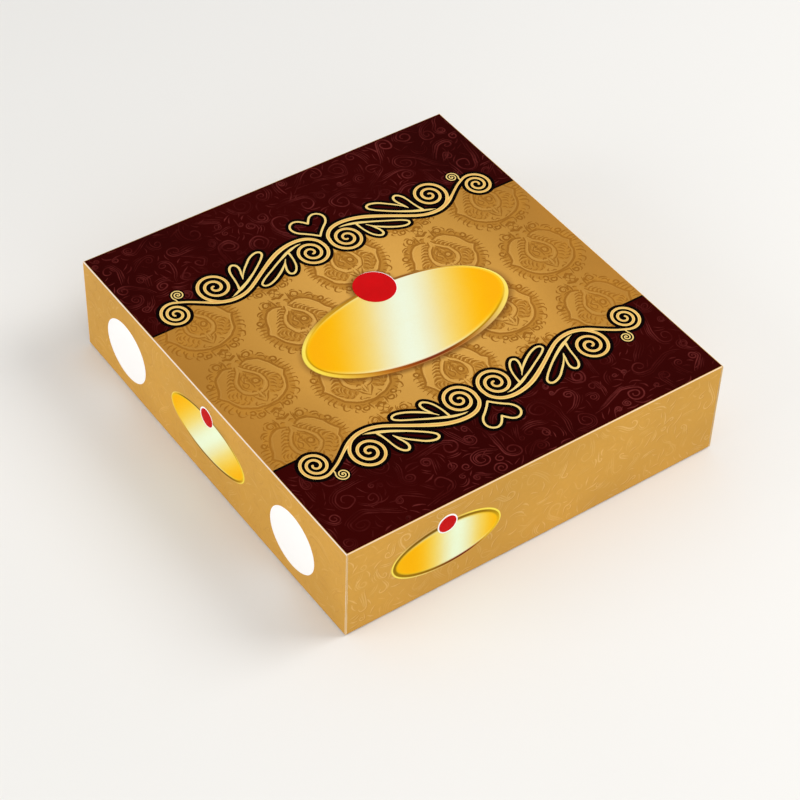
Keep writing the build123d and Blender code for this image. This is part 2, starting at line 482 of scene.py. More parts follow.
def spline(pts, step=0.8, closed=False):
    """A smooth line through given points, sampled about every step."""
    pts = [Vector((p[0], p[1])) for p in pts]
    n = len(pts)
    out = []
    spans = n if closed else n - 1
    for i in range(spans):
        p1, p2 = pts[i], pts[(i + 1) % n]
        p0 = pts[(i - 1) % n] if (closed or i > 0) else p1 + (p1 - p2)
        p3 = pts[(i + 2) % n] if (closed or i + 2 < n) else p2 + (p2 - p1)
        d1 = max((p1 - p0).length, 1e-6) ** 0.5
        d2 = max((p2 - p1).length, 1e-6) ** 0.5
        d3 = max((p3 - p2).length, 1e-6) ** 0.5
        m1 = (p1 - p0) / d1 - (p2 - p0) / (d1 + d2) + (p2 - p1) / d2
        m2 = (p2 - p1) / d2 - (p3 - p1) / (d2 + d3) + (p3 - p2) / d3
        m1, m2 = m1 * d2, m2 * d2
        k = max(2, int((p2 - p1).length / step + 0.5))
        for j in range(k):
            t = j / k
            t2, t3 = t * t, t * t * t
            q = (2 * t3 - 3 * t2 + 1) * p1 + (t3 - 2 * t2 + t) * m1 + (-2 * t3 + 3 * t2) * p2 + (t3 - t2) * m2
            out.append((q.x, q.y))
    if not closed:
        out.append((pts[-1].x, pts[-1].y))
    return out


def curl(cx, cy, r0, a0, turns, pitch, hand, step=0.6):
    """A spiral that starts at angle a0 and radius r0 and winds inward; hand +1 turns anticlockwise."""
    out, total = [], turns * 2 * math.pi
    a = 0.0
    while a < total:
        r = max(r0 - pitch * a / (2 * math.pi), 0.15)
        out.append((cx + r * math.cos(a0 + hand * a), cy + r * math.sin(a0 + hand * a)))
        a += min(0.5, step / max(r, 0.5))
    return out


def arc_length(pts):
    s = [0.0]
    for p, q in zip(pts, pts[1:]):
        s.append(s[-1] + math.hypot(q[0] - p[0], q[1] - p[1]))
    return s


def cleaned(pts, closed=False):
    out = [pts[0]]
    for p in pts[1:]:
        if math.hypot(p[0] - out[-1][0], p[1] - out[-1][1]) > 1e-3:
            out.append(p)
    if closed and len(out) > 2 and math.hypot(out[0][0] - out[-1][0], out[0][1] - out[-1][1]) < 1e-3:
        out.pop()
    return out


def stroke(b, pts, width, h=0.0, crown=0.0, foot=None, cols=2, mat=0, closed=False, round_ends=True, taper=None, wedge=False):
    """A ribbon of ink or foil along a line: closed underneath, with a rounded crown if asked."""
    pts = cleaned(pts, closed)
    n = len(pts)
    if n < 2:
        return
    s = arc_length(pts)
    total = s[-1]
    foot = h - 0.012 if foot is None else foot
    half = []
    for i in range(n):
        t = s[i] / total if total else 0.0
        w = width(t) if callable(width) else width
        if taper is not None:
            w *= taper(t)
        half.append(max(w / 2, 0.012))
    if round_ends and not closed:
        # round the ends by adding sections inside the last half width
        for end in (0, 1):
            r = half[0] if end == 0 else half[-1]
            if total < 2.5 * r:
                continue
            p, q = (pts[0], pts[1]) if end == 0 else (pts[-1], pts[-2])
            dx, dy = p[0] - q[0], p[1] - q[1]
            ln = math.hypot(dx, dy) or 1.0
            dx, dy = dx / ln, dy / ln
            extra = [(0.45, 0.89), (0.8, 0.6), (1.0, 0.12)]
            add = [((p[0] + dx * r * e, p[1] + dy * r * e), r * w) for e, w in extra]
            if end == 0:
                pts = [a for a, _ in reversed(add)] + pts
                half = [w for _, w in reversed(add)] + half
            else:
                pts = pts + [a for a, _ in add]
                half = half + [w for _, w in add]
        n = len(pts)
    rows = []
    for i in range(n):
        if closed:
            a, c = pts[(i - 1) % n], pts[(i + 1) % n]
        else:
            a, c = pts[max(i - 1, 0)], pts[min(i + 1, n - 1)]
        dx, dy = c[0] - a[0], c[1] - a[1]
        ln = math.hypot(dx, dy) or 1.0
        nx, ny = -dy / ln, dx / ln
        x, y = pts[i]
        row = []
        for k in range(cols):
            u = -1 + 2 * k / (cols - 1)
            rise = crown * (1 - u * u) * min(1.0, half[i] / max(half[n // 2], 1e-6))
            row.append(b.vert((x + nx * u * half[i], y + ny * u * half[i], h + rise), across=u))
        if wedge:
            row.append(b.vert((x, y, foot), across=0.0))
        else:
            row.append(b.vert((x + nx * half[i], y + ny * half[i], foot), across=1.0))
            row.append(b.vert((x - nx * half[i], y - ny * half[i], foot), across=-1.0))
        rows.append(row)
    m = len(rows[0])
    for i in range(n if closed else n - 1):
        r0, r1 = rows[i], rows[(i + 1) % n]
        for k in range(m):
            b.face((r0[k], r0[(k + 1) % m], r1[(k + 1) % m], r1[k]), mat)
    if not closed:
        b.face(tuple(reversed(rows[0])), mat)
        b.face(tuple(rows[-1]), mat)


def fill(b, loop, h, foot=None, mat=0, grid=6.0):
    """A filled flat shape, cut by a grid so that it can follow the board under it."""
    foot = h - 0.012 if foot is None else foot
    loop = cleaned(loop, True)
    bm = bmesh.new()
    vs = [bm.verts.new((x, y, 0.0)) for x, y in loop]
    bm.faces.new(vs)
    bm.normal_update()
    bmesh.ops.triangulate(bm, faces=bm.faces[:], quad_method="BEAUTY", ngon_method="EAR_CLIP")
    xs = [p[0] for p in loop]
    ys = [p[1] for p in loop]
    if grid:
        k = math.floor(min(xs) / grid) + 1
        while k * grid < max(xs):
            bmesh.ops.bisect_plane(bm, geom=bm.verts[:] + bm.edges[:] + bm.faces[:], plane_co=(k * grid, 0, 0), plane_no=(1, 0, 0))
            k += 1
        k = math.floor(min(ys) / grid) + 1
        while k * grid < max(ys):
            bmesh.ops.bisect_plane(bm, geom=bm.verts[:] + bm.edges[:] + bm.faces[:], plane_co=(0, k * grid, 0), plane_no=(0, 1, 0))
            k += 1
    bm.verts.index_update()
    up = {v.index: b.vert((v.co.x, v.co.y, h)) for v in bm.verts}
    dn = {v.index: b.vert((v.co.x, v.co.y, foot)) for v in bm.verts}
    for f in bm.faces:
        ids = [v.index for v in f.verts]
        b.face([up[i] for i in ids], mat)
        b.face([dn[i] for i in reversed(ids)], mat)
    for e in bm.edges:
        if len(e.link_faces) == 1:
            i, j = e.verts[0].index, e.verts[1].index
            b.face((up[i], up[j], dn[j], dn[i]), mat)
    bm.free()


def inside(p, poly):
    x, y = p
    hit = False
    j = len(poly) - 1
    for i in range(len(poly)):
        xi, yi = poly[i]
        xj, yj = poly[j]
        if (yi > y) != (yj > y) and x < (xj - xi) * (y - yi) / (yj - yi) + xi:
            hit = not hit
        j = i
    return hit


def thinned(pts, turn=0.24, longest=2.6):
    """A line with only the points it needs: where it has turned enough, or run far enough."""
    out, bent, run = [pts[0]], 0.0, 0.0
    for p, q, r in zip(pts, pts[1:], pts[2:]):
        d = math.atan2(r[1] - q[1], r[0] - q[0]) - math.atan2(q[1] - p[1], q[0] - p[0])
        bent += (d + math.pi) % (2 * math.pi) - math.pi
        run += math.hypot(q[0] - p[0], q[1] - p[1])
        if abs(bent) > turn or run > longest:
            out.append(q)
            bent = run = 0.0
    out.append(pts[-1])
    return out


def loosened(pts, reach, grain, seed=0.0):
    """A line as an unsteady hand draws it."""
    out = []
    for x, y in pts:
        q = Vector((x / grain, y / grain, seed))
        r = Vector((x / grain, y / grain, seed + 9.0))
        out.append((x + reach * noise.noise(q), y + reach * noise.noise(r)))
    return out


def clipped(pts, keep):
    """The runs of a line whose points pass a test."""
    runs, run = [], []
    for p in pts:
        if keep(p):
            run.append(p)
        else:
            if len(run) > 2:
                runs.append(run)
            run = []
    if len(run) > 2:
        runs.append(run)
    return runs


# ---------------------------------------------------------------------------
# the lid's folded board
# ---------------------------------------------------------------------------
def lengths(half, fine, step):
    """Stations along a board: fine near both ends, then even steps."""
    ends = [0.0, 0.06, 0.16, 0.3, 0.45, 0.7, 1.2, 2.5] if fine else [0.0, 0.4, 2.0]
    mid = []
    a = -half + ends[-1] + step
    while a < half - ends[-1] - step * 0.4:
        mid.append(a)
        a += step
    return [-half + e for e in ends] + mid + [half - e for e in reversed(ends)]


def arc2(cx, cz, r, a0, a1, n):
    return [(cx + r * math.cos(math.radians(a0 + (a1 - a0) * i / n)), cz + r * math.sin(math.radians(a0 + (a1 - a0) * i / n))) for i in range(n + 1)]


def skirt(side, wear_and_highlight):
    """One skirt with the fold at its top and the rolled lower rim, as a swept section."""
    place, reach = SIDES[side]
    across = side in ("front", "back")
    half = reach - T if across else reach
    prof, kind, fold = [], [], []

    def add(p, k, w):
        prof.append(p)
        kind.append(k)
        fold.append(w)

    for i, p in enumerate(arc2(T, HZ - T, T, 90, 180, 6)):
        add(p, 0, (0.30, 0.52, 0.90, 1.0, 0.92, 0.56, 0.34)[i])
    add((0.0, HZ - T - 0.18), 0, 0.18)
    add((0.0, HZ - T - 0.42), 0, 0.04)
    z = HZ - 2.4
    while z > FOOT + 3.0:
        add((0.0, z), 0, 0.0)
        z -= 5.2
    add((0.0, FOOT + 1.3), 0, 0.0)
    for i, p in enumerate(arc2(T, FOOT + T, T, 180, 270, 5)):
        add(p, 0, 0.12 if i == 0 else 0.52)
    z = FOOT + 3.0
    while z < HZ - 3.0:
        add((T, z), 1, 0.0)
        z += 5.2
    add((T, HZ - T), 1, 0.0)
    b = Build(shape=lid_shape)
    stations = lengths(half, True, 5.0)
    rows = []
    for a in stations:
        end = half - abs(a)
        tuck = 0.0
        corner = 0.0
        if across:
            if end < 0.45:
                tuck = 0.45 - math.sqrt(max(0.0, 0.45 ** 2 - (0.45 - end) ** 2))
            corner = max(0.0, 0.80 - end * 0.8)
        else:
            corner = max(0.0, 0.74 - end * 0.9)
        row = []
        for (d, zz), w in zip(prof, fold):
            # the outer skin rolls in towards the glue tab at each end
            dd = max(d, tuck) if across else d
            f = max(w * wear_and_highlight, corner * min(1.0, 0.75 + 0.25 * wear_and_highlight))
            row.append(b.vert(place(a, zz, -dd), fold=f))
        rows.append(row)
    m = len(prof)
    for r0, r1 in zip(rows, rows[1:]):
        for k in range(m):
            q = (k + 1) % m
            b.face((r0[k], r0[q], r1[q], r1[k]), 1 if kind[k] and kind[q] else 0)
    b.face(list(reversed(rows[0])), 2)
    b.face(rows[-1], 2)
    return b.make("lid_%s_skirt_board" % side, [M_ACROSS if across else M_SIDE, M_GREY_BACK, M_CORNER], "lid", ["lid_%s_skirt" % side])


def top_panel(wear_and_highlight):
    """The lid's top: one flat printed board whose edges meet the four folds."""
    b = Build(shape=lid_shape)
    hx, hy = HX - T, HY - T

    def lines(half):
        inner = [-half, -half + 0.22, -half + 0.5]
        a = -half + 0.5 + 4.0
        mid = []
        n = int((2 * half - 1.0) / 5.0)
        mid = [-half + 0.5 + (2 * half - 1.0) * i / n for i in range(1, n)]
        return inner + mid + [half - 0.5, half - 0.22, half]

    xs, ys = lines(hx), lines(hy)

    def edge_wear_and_highlight(x, y):
        f = 0.0
        for dist, side in ((hx + x, "left"), (hx - x, "right"), (hy + y, "front"), (hy - y, "back")):
            near = 0.30 if dist < 0.01 else 0.12 if dist < 0.3 else 0.0
            f = max(f, near * wear_and_highlight[side])
        return f

    up = [[b.vert((x, y, HZ), fold=edge_wear_and_highlight(x, y)) for y in ys] for x in xs]
    dn = [[b.vert((x, y, HZ - T), fold=0.0) for y in ys] for x in xs]
    for i in range(len(xs) - 1):
        for j in range(len(ys) - 1):
            b.face((up[i][j], up[i + 1][j], up[i + 1][j + 1], up[i][j + 1]), 0)
            b.face((dn[i][j], dn[i][j + 1], dn[i + 1][j + 1], dn[i + 1][j]), 1)
    for i in range(len(xs) - 1):
        for j in (0, len(ys) - 1):
            b.face((up[i][j], up[i + 1][j], dn[i + 1][j], dn[i][j]), 2)
    for j in range(len(ys) - 1):
        for i in (0, len(xs) - 1):
            b.face((up[i][j], up[i][j + 1], dn[i][j + 1], dn[i][j]), 2)
    return b.make("lid_top_board", [M_TOP, M_GREY_BACK, M_CORE], "lid", ["lid_top_panel"])


# how strong the fold marks are on each side, partly wear and partly painted highlight: strongest on the front and left
# folds
WEAR_AND_HIGHLIGHT = {"front": 0.94, "left": 1.0, "back": 0.56, "right": 0.56}
for s in SIDES:
    skirt(s, WEAR_AND_HIGHLIGHT[s])
top_panel(WEAR_AND_HIGHLIGHT)


# sizes of the turned-in boards and the corner glue tabs
HEM_H, HEM_TAPER, TAB_L, TAB_TAPER, HEM_GAP = 30.0, 6.0, 18.0, 4.0, 0.4


def tabs(name, hx, hy, z0, z1, node, body, mats, shape):
    """Four corner glue tabs of a tray, in one piece."""
    b = Build(shape=shape)
    for sx in (-1, 1):
        for sy in (-1, 1):
            outer, inner = sx * (hx - T - 0.01), sx * (hx - 2 * T)
            rows = []
            for i in range(7):
                t = i / 6
                y = sy * (hy - T - TAB_L * t)
                lo, hi = z0 + TAB_TAPER * t, z1 - TAB_TAPER * t
                ring = []
                nz = 9
                for j in range(nz + 1):
                    ring.append(b.vert((outer, y, lo + (hi - lo) * j / nz)))
                for j in range(nz, -1, -1):
                    ring.append(b.vert((inner, y, lo + (hi - lo) * j / nz)))
                rows.append(ring)
            m = len(rows[0])
            for r0, r1 in zip(rows, rows[1:]):
                for k in range(m):
                    q = (k + 1) % m
                    b.face((r0[k], r0[q], r1[q], r1[k]), 1 if k == m // 2 - 1 or k == m - 1 else 0)
            b.face(rows[0], 1)
            b.face(list(reversed(rows[-1])), 1)
    return b.make(name, mats, body, [node])


tabs("lid_corner_tab_boards", HX, HY, FOOT + 0.6, HZ - T - 0.15 - 0.6, "lid_corner_tabs", "lid", [M_GREY_BACK, M_CORE], lid_shape)


# ---------------------------------------------------------------------------
# the print on the lid's top
# ---------------------------------------------------------------------------
# Scrollwork is drawn in a layout of 1500 x 1500 units over the top face, the
# back edge at 0 and the front edge at 1500, left half only; the other half and
# the front border are its mirror images.
def unit(x, y):
    return ((x / 1500.0 - 0.5) * 2 * HX, (0.5 - y / 1500.0) * 2 * HY)


SX = 2 * HX / 1500.0                 # millimetres per layout unit, across
SY = 2 * HY / 1500.0                 # and along
SM = 0.5 * (SX + SY)
FLIP = 1538.0                        # the front border is the back one at FLIP - y


def both_borders(line):
    """The four mirrored copies of a left-half line of the back border."""
    out = []
    for my in (False, True):
        for mx in (False, True):
            out.append([unit(1500.0 - x if mx else x, FLIP - y if my else y) for x, y in line])
    return out


def units_curl(cx, cy, r0, a0, turns, pitch, hand):
    return curl(cx, cy, r0, math.radians(a0), turns, pitch, hand, step=3.2)


STROKES = []


def add_stroke(line, w, kind="main", swell=None):
    STROKES.append((line, w, kind, swell))


def swelling(*marks):
    """A pen's pressure along a line, from (position 0..1, factor) pairs."""
    def factor(t):
        for (a, fa), (c, fc) in zip(marks, marks[1:]):
            if t <= c:
                k = (t - a) / max(c - a, 1e-9)
                k = k * k * (3 - 2 * k)
                return fa + (fc - fa) * k
        return marks[-1][1]
    return factor


# stem: out of the end spiral, down under the big one, up to the middle, into the inner spiral
end_curl = units_curl(127.5, 378.5, 55.0, -60, 2.45, 19.7, -1)
inner_curl = units_curl(677.0, 366.4, 60.0, -16, 2.27, 23.4, 1)
stem_mid = [(186, 346), (210, 361), (233, 377), (258, 393), (286, 407), (314, 416), (343, 418), (371, 414.5), (400, 404.5), (428, 389.5), (452, 375), (480, 358), (509, 341), (537, 325.5), (566, 311.5), (594, 301.5), (623, 295), (652, 292.5), (679, 295), (701, 302.5), (719, 316), (731, 333)]
stem = list(reversed(end_curl))[:-1] + spline([end_curl[0]] + stem_mid + [inner_curl[0]], 3.2)[:-1] + inner_curl
n_end, n_all = len(end_curl), float(len(stem))
add_stroke(stem, 9.9, "main", swelling((0.0, 0.72), (0.05, 0.92), ((n_end - 12) / n_all, 1.0), ((n_end + 6) / n_all, 0.82), ((n_end + 26) / n_all, 0.84), ((n_end + 44) / n_all, 1.40),
                                      ((n_end + 62) / n_all, 1.42), ((n_end + 84) / n_all, 1.24), ((n_end + 112) / n_all, 1.28), ((n_end + 140) / n_all, 1.56), ((n_end + 168) / n_all, 1.42),
                                      ((n_end + 205) / n_all, 1.16), (0.82, 1.02), (0.93, 1.0), (1.0, 0.75)))
# the big spiral grows out of the stem
big = units_curl(305, 337.5, 62.6, 140, 2.38, 24.3, 1)
add_stroke(spline([(322, 417), (300, 411), (281, 402), (267, 390)] + [big[0]], 3.2)[:-1] + big, 9.7, "main", swelling((0.0, 0.7), (0.08, 1.15), (0.22, 1.12), (0.4, 1.0), (0.92, 1.0), (1.0, 0.75)))
# tiny spiral
tiny = units_curl(180.5, 304.5, 23.5, 140, 2.3, 10.0, 1)
add_stroke(spline([(182, 345), (171, 340), (164, 332), tiny[0]], 2.4)[:-1] + tiny, 4.1, "tiny")
# upper short leaf
add_stroke(spline([(407, 353), (414, 334), (421, 317), (425, 298), (421, 285), (411, 279.5), (400, 284), (390, 298), (384.5, 317), (381, 341), (377, 362), (370, 387)], 3.2), 6.5, "leaf", swelling((0.0, 0.5), (0.15, 0.98), (0.36, 1.24), (0.5, 1.14), (0.7, 0.9), (0.88, 0.95), (1.0, 1.3)))
# upper long leaf
add_stroke(spline([(407, 353), (421, 334), (438, 316), (457, 299.5), (480, 281), (502, 271), (518, 269), (528.5, 275), (528.5, 286), (514, 302.5), (490, 321.5), (462, 341.5), (435, 358.5), (408, 374), (384, 385.5), (362, 395), (342, 402.5), (328, 406.5)], 3.2), 6.6, "leaf", swelling((0.0, 0.45), (0.16, 1.0), (0.36, 1.2), (0.5, 1.0), (0.64, 1.05), (0.76, 1.4), (0.86, 1.7), (0.94, 1.1), (1.0, 0.12)))
# lower long leaf
add_stroke(spline([(671, 311.5), (655, 311.5), (634, 315.5), (606, 324), (575, 337.5), (547, 350.5), (514, 367.5), (485, 382), (460.5, 396), (447.5, 408.5), (450, 418), (464, 422), (490, 415.5), (518, 401.5), (544.5, 384), (566, 366), (582.5, 348)], 3.2), 6.6, "leaf", swelling((0.0, 0.12), (0.04, 0.85), (0.12, 1.5), (0.19, 1.5), (0.27, 1.1), (0.42, 0.95), (0.58, 1.02), (0.70, 1.15), (0.84, 1.24), (1.0, 0.4)))
# lower short leaf
add_stroke(spline([(609.5, 322), (607.5, 346), (602.5, 372), (594, 395), (581, 412), (567, 419), (556.5, 413), (556, 397), (563, 378.5), (572.5, 361), (582.5, 348)], 3.2), 6.5, "leaf", swelling((0.0, 1.2), (0.2, 0.92), (0.44, 1.02), (0.58, 1.24), (0.78, 1.05), (1.0, 0.45)))
# heart over the middle
add_stroke(spline([(750, 314), (734, 298), (713, 280), (694, 265), (683.5, 247.5), (683, 230), (693, 216), (709, 210), (725, 214.5), (738, 226), (750, 241)], 3.0), 7.2, "leaf")

# dark fields inside the leaves
DARK = [
    spline([(407, 353), (414, 334), (421, 317), (425, 298), (421, 285), (411, 279.5), (400, 284), (390, 298), (384.5, 317), (381, 341), (380, 358), (392, 372)], 4.0, closed=True),
    spline([(407, 353), (421, 334), (438, 316), (457, 299.5), (480, 281), (502, 271), (518, 269), (528.5, 275), (528.5, 286), (514, 302.5), (490, 321), (461, 339), (433, 354)], 4.0, closed=True),
    spline([(575, 337), (547, 350.5), (514, 367.5), (485, 382), (460.5, 396), (447.5, 408.5), (450, 418), (464, 422), (490, 415.5), (518, 401.5), (544.5, 384), (566, 366), (582.5, 348)], 4.0, closed=True),
    spline([(605, 330), (607.5, 346), (602.5, 372), (594, 395), (581, 412), (567, 419), (556.5, 413), (556, 397), (563, 378.5), (572.5, 361), (582.5, 348)], 4.0, closed=True),
]

# lower edge of the dark band: runs under the lowest strokes
ENVELOPE = [(-40, 425), (96, 425), (110, 420), (128, 422), (146, 414), (162, 395), (167, 372), (170, 350), (186, 348), (210, 363), (233, 379), (258, 395), (286, 408), (314, 416), (343, 418), (371, 414), (400, 404), (428, 389), (447, 400), (450, 415), (464, 419), (490, 412), (518, 399), (544, 381), (556, 392), (559, 408), (567, 414), (579, 408), (591, 392), (603, 366), (620, 360), (622, 380), (634, 398), (654, 412), (677, 417), (700, 411), (718, 396), (732, 372), (750, 352)]


def band_loop(front_side):
    whole = ENVELOPE + [(1500 - x, y) for x, y in reversed(ENVELOPE[:-1])]
    loop = [(-40, -40)] + whole + [(1540, -40)]
    pts = []
    for x, y in loop:
        px, py = unit(x, FLIP - y if front_side else y)
        px = max(-HX + T + 0.01, min(HX - T - 0.01, px))
        py = max(-HY + T + 0.01, min(HY - T - 0.01, py))
        pts.append((px, py))
    if front_side:
        pts.reverse()
    return cleaned(pts, True)


def maroon_bands():
    b = Build(place=top, shape=lid_shape)
    for fs in (False, True):
        fill(b, band_loop(fs), 0.045, 0.0, grid=5.0)
    return b.make("lid_maroon_bands", [M_MAROON], "lid", smooth=None, flat_map=True)


def scroll_black():
    """Black outlines of the scrolls, with the thin line where a dark band meets the gold one."""
    b = Build(place=top, shape=lid_shape)
    for y in (426.0, FLIP - 426.0):
        for x0, x1 in ((5, 100), (1400, 1495)):
            stroke(b, [unit(x0 + (x1 - x0) * i / 6, y) for i in range(7)], 1.15, h=0.062, foot=0.0, round_ends=False)
    for k, (line, w, kind, swell) in enumerate(STROKES):
        rim = {"main": 23.5, "leaf": 22.5, "tiny": 11.0}[kind]
        for copy in both_borders(line):
            stroke(b, copy, lambda t: (w * (swell(t) if swell else 1.0) + rim) * SM, h=0.072 + 0.005 * (k % 4), foot=0.0)
    for d in DARK:
        for copy in both_borders(d):
            fill(b, copy, 0.0705, 0.0, grid=6.0, mat=1)
    return b.make("lid_scroll_outlines", [M_BLACK, M_MAROON], "lid", smooth=None, flat_map=True)


def scroll_foil():
    b = Build(place=top, shape=lid_shape)
    for k, (line, w, kind, swell) in enumerate(STROKES):
        for copy in both_borders(line):
            stroke(b, copy, w * SM, h=0.104 + 0.007 * (k % 4), crown={"main": 0.10, "leaf": 0.06, "tiny": 0.04}[kind], foot=0.05, cols=7, taper=swell, mat=0 if kind == "main" else 1)
    return b.make("lid_scroll_foil", [M_SCROLL, M_SCROLL_THIN], "lid", smooth=60.0, flat_map=True)


maroon_bands()
scroll_black()
scroll_foil()


# ---- damask: round palmettes in offset columns over the gold band ----------
def mirrored(line):
    return [(-u, v) for u, v in line]


def ring_of(cu, cv, r, a0, a1, n=9):
    return [(cu + r * math.cos(math.radians(a0 + (a1 - a0) * i / n)), cv + r * math.sin(math.radians(a0 + (a1 - a0) * i / n))) for i in range(n + 1)]


def roundel():
    """Fields, dark lines and light lines of one palmette, in layout units from its middle, v up."""
    fields, dark, mid, light = [], [], [], []

    def both(store, line, w, taper=False):
        store.append((line, w, taper))
        other = mirrored(line)
        store.append((list(reversed(other)) if store is fields else other, w, taper))

    def dash(store, pts, w, taper=True, step=4):
        both(store, spline(pts, step), w, taper)

    # the ring: a closed band between two scalloped lines, with a fringe of short curled strokes
    ra = spline([(16, 90), (31, 97), (52, 97), (75, 86), (94, 66), (106, 40), (114, 18), (128, 0)], 5)
    rb = spline([(128, 0), (113, -18), (104, -42), (91, -66), (73, -83), (48, -96), (23, -103), (0, -105)], 5)
    ro = spline([(8, 108), (38, 118), (70, 112), (98, 95), (120, 66), (131, 38), (138, 14), (141, 0), (136, -20), (127, -50), (112, -80), (89, -104), (60, -120), (30, -126), (0, -127)], 5)
    both(fields, ro + list(reversed(ra + rb[1:])), 0)
    both(mid, ra, 6.0)
    both(mid, rb, 6.4)
    dash(light, [(22, 84), (35, 90), (52, 90), (71, 80), (88, 61), (99, 37), (107, 15), (117, 1)], 4.6, False, 5)
    dash(light, [(117, -1), (105, -20), (96, -43), (84, -63), (67, -78), (44, -90), (20, -97)], 4.6, False, 5)
    # upper fringe
    both(dark, curl(57, 117, 16.0, math.radians(210), 1.2, 9.5, -1, step=3.0), 5.2, False)
    both(light, ring_of(57, 117, 5.0, 20, 300), 3.0)
    dash(dark, [(37, 103), (47, 101), (60, 101), (71, 96)], 5.0)
    dash(dark, [(40, 112), (36, 122), (40, 131)], 5.4)
    dash(dark, [(50, 136), (60, 139), (70, 135)], 5.4)
    dash(dark, [(78, 127), (82, 116), (77, 107)], 5.2)
    dash(dark, [(82, 101), (94, 103), (105, 97), (109, 87)], 6.0)
    dash(dark, [(86, 92), (97, 92), (103, 84), (99, 76)], 5.4)
    dash(light, [(84, 97), (94, 98), (101, 92)], 3.0)
    dash(light, [(92, 84), (97, 80), (96, 74)], 2.6)
    dash(dark, [(97, 70), (104, 76), (112, 76)], 5.0)
    both(dark, ring_of(121, 57, 9.0, -150, 150, 11), 5.2)
    both(light, ring_of(121, 57, 3.2, 0, 320, 7), 3.2)
    dash(dark, [(106, 58), (110, 50), (108, 43)], 5.0)
    dash(dark, [(113, 39), (126, 42), (141, 44), (146, 39)], 6.0)
    dash(light, [(116, 33), (128, 35), (140, 36)], 3.0)
    dash(dark, [(117, 26), (130, 28), (146, 28)], 5.6)
    dash(light, [(120, 20), (132, 21), (143, 20)], 2.8)
    dash(dark, [(122, 12), (136, 14), (152, 12)], 6.0)
    dash(light, [(126, 6), (136, 7), (146, 5)], 2.6)
    dash(dark, [(130, -2), (142, -1), (152, 2)], 5.0)
    # lower fringe
    dash(dark, [(125, -11), (138, -11), (150, -13)], 5.6)
    dash(light, [(121, -18), (132, -19), (143, -20)], 2.8)
    dash(dark, [(120, -25), (133, -27), (146, -32)], 5.6)
    dash(light, [(117, -32), (127, -35), (135, -38)], 2.8)
    dash(dark, [(114, -40), (127, -43), (139, -49), (138, -57)], 6.0)
    dash(dark, [(109, -54), (119, -57), (129, -63), (132, -73), (125, -80)], 5.6)
    dash(light, [(110, -61), (119, -66), (122, -73)], 2.8)
    dash(dark, [(102, -70), (110, -76), (112, -84)], 5.0)
    dash(dark, [(97, -81), (109, -87), (114, -97), (108, -107), (97, -108)], 5.8)
    dash(light, [(94, -87), (102, -93), (103, -100)], 2.8)
    dash(dark, [(84, -92), (90, -100), (88, -107)], 4.6)
    both(dark, ring_of(69, -110, 9.0, 60, 350, 11), 5.0)
    both(light, ring_of(69, -110, 3.2, 0, 320, 7), 3.2)
    dash(dark, [(82, -115), (88, -122), (82, -130)], 5.0)
    both(dark, curl(49, -127, 12.0, math.radians(150), 1.0, 6.5, 1, step=3.0), 5.0, False)
    dash(dark, [(55, -104), (48, -110), (38, -111)], 4.6)
    dash(dark, [(66, -124), (66, -133), (58, -140)], 5.0)
    # top: a bow between two upright bars
    dash(dark, [(31, 96), (30, 110), (31, 124), (35, 138)], 6.0)
    dash(light, [(25, 99), (24, 112), (25, 128)], 3.2)
    dash(dark, [(23, 109), (15, 112), (6, 108)], 6.4)
    dash(dark, [(20, 134), (12, 132), (4, 127), (0, 125)], 8.0, False)
    dash(dark, [(14, 141), (7, 137), (0, 135)], 4.4)
    dash(light, [(16, 122), (9, 119), (2, 117)], 3.2)
    # bottom: its counterpart under the ring
    dash(dark, [(29, -114), (29, -127), (26, -141)], 6.0)
    dash(light, [(23, -116), (23, -128), (21, -138)], 3.0)
    dash(dark, [(17, -136), (10, -134), (3, -129), (0, -127)], 8.0, False)
    dash(dark, [(13, -144), (6, -140), (0, -137)], 4.4)
    dash(mid, [(28, -113), (14, -112), (0, -111)], 5.0, False)
    dash(mid, [(12, -95), (22, -92), (34, -95)], 6.0)
    # feathered edge of the palmette
    both(fields, spline([(10, 82), (22, 86), (34, 76), (44, 60), (57, 42), (70, 24), (86, 8), (100, -8), (99, -24), (70, -20), (52, 4), (44, 30), (26, 54), (12, 70)], 5, closed=True), 0)
    for q in ([(16, 76), (25, 83), (40, 79)], [(24, 66), (33, 72), (48, 67)], [(33, 55), (42, 61), (57, 56)], [(41, 43), (51, 49), (66, 44)], [(49, 31), (59, 36), (75, 31)], [(56, 18), (66, 23), (83, 17)], [(62, 5), (73, 9), (91, 3)]):
        dash(mid, q, 7.2)
        both(light, spline([(u + 2.5, v - 6.2) for u, v in q], 5), 2.6)
    # side lobes: a dark cluster with curled leaves and light flecks
    both(fields, spline([(58, -8), (74, -2), (92, -5), (101, -14), (99, -28), (93, -43), (82, -57), (66, -68), (46, -70), (30, -60), (30, -50), (44, -36), (55, -21)], 5, closed=True), 0)
    dash(mid, [(84, -3), (94, -8), (95, -19)], 6.0)
    dash(mid, [(74, -7), (84, -14), (85, -25)], 6.4)
    dash(mid, [(98, -24), (93, -33), (83, -32)], 6.0)
    dash(mid, [(62, -11), (72, -19), (75, -31)], 6.4)
    dash(mid, [(92, -40), (84, -48), (75, -43)], 6.0)
    dash(mid, [(54, -24), (65, -31), (68, -43)], 6.4)
    dash(mid, [(80, -56), (71, -61), (63, -54)], 5.6)
    dash(mid, [(46, -38), (56, -45), (57, -55)], 6.0)
    dash(mid, [(64, -69), (54, -70), (48, -62)], 5.4)
    dash(mid, [(34, -50), (41, -58), (41, -66)], 5.4)
    dash(light, [(68, -12), (78, -18), (80, -29)], 2.8)
    dash(light, [(60, -20), (70, -28), (72, -38)], 2.8)
    dash(light, [(89, -12), (90, -21), (86, -27)], 2.6)
    dash(light, [(86, -38), (78, -44), (73, -52)], 2.6)
    dash(light, [(51, -34), (61, -41), (63, -50)], 2.6)
    dash(light, [(44, -48), (50, -57), (60, -61)], 2.6)
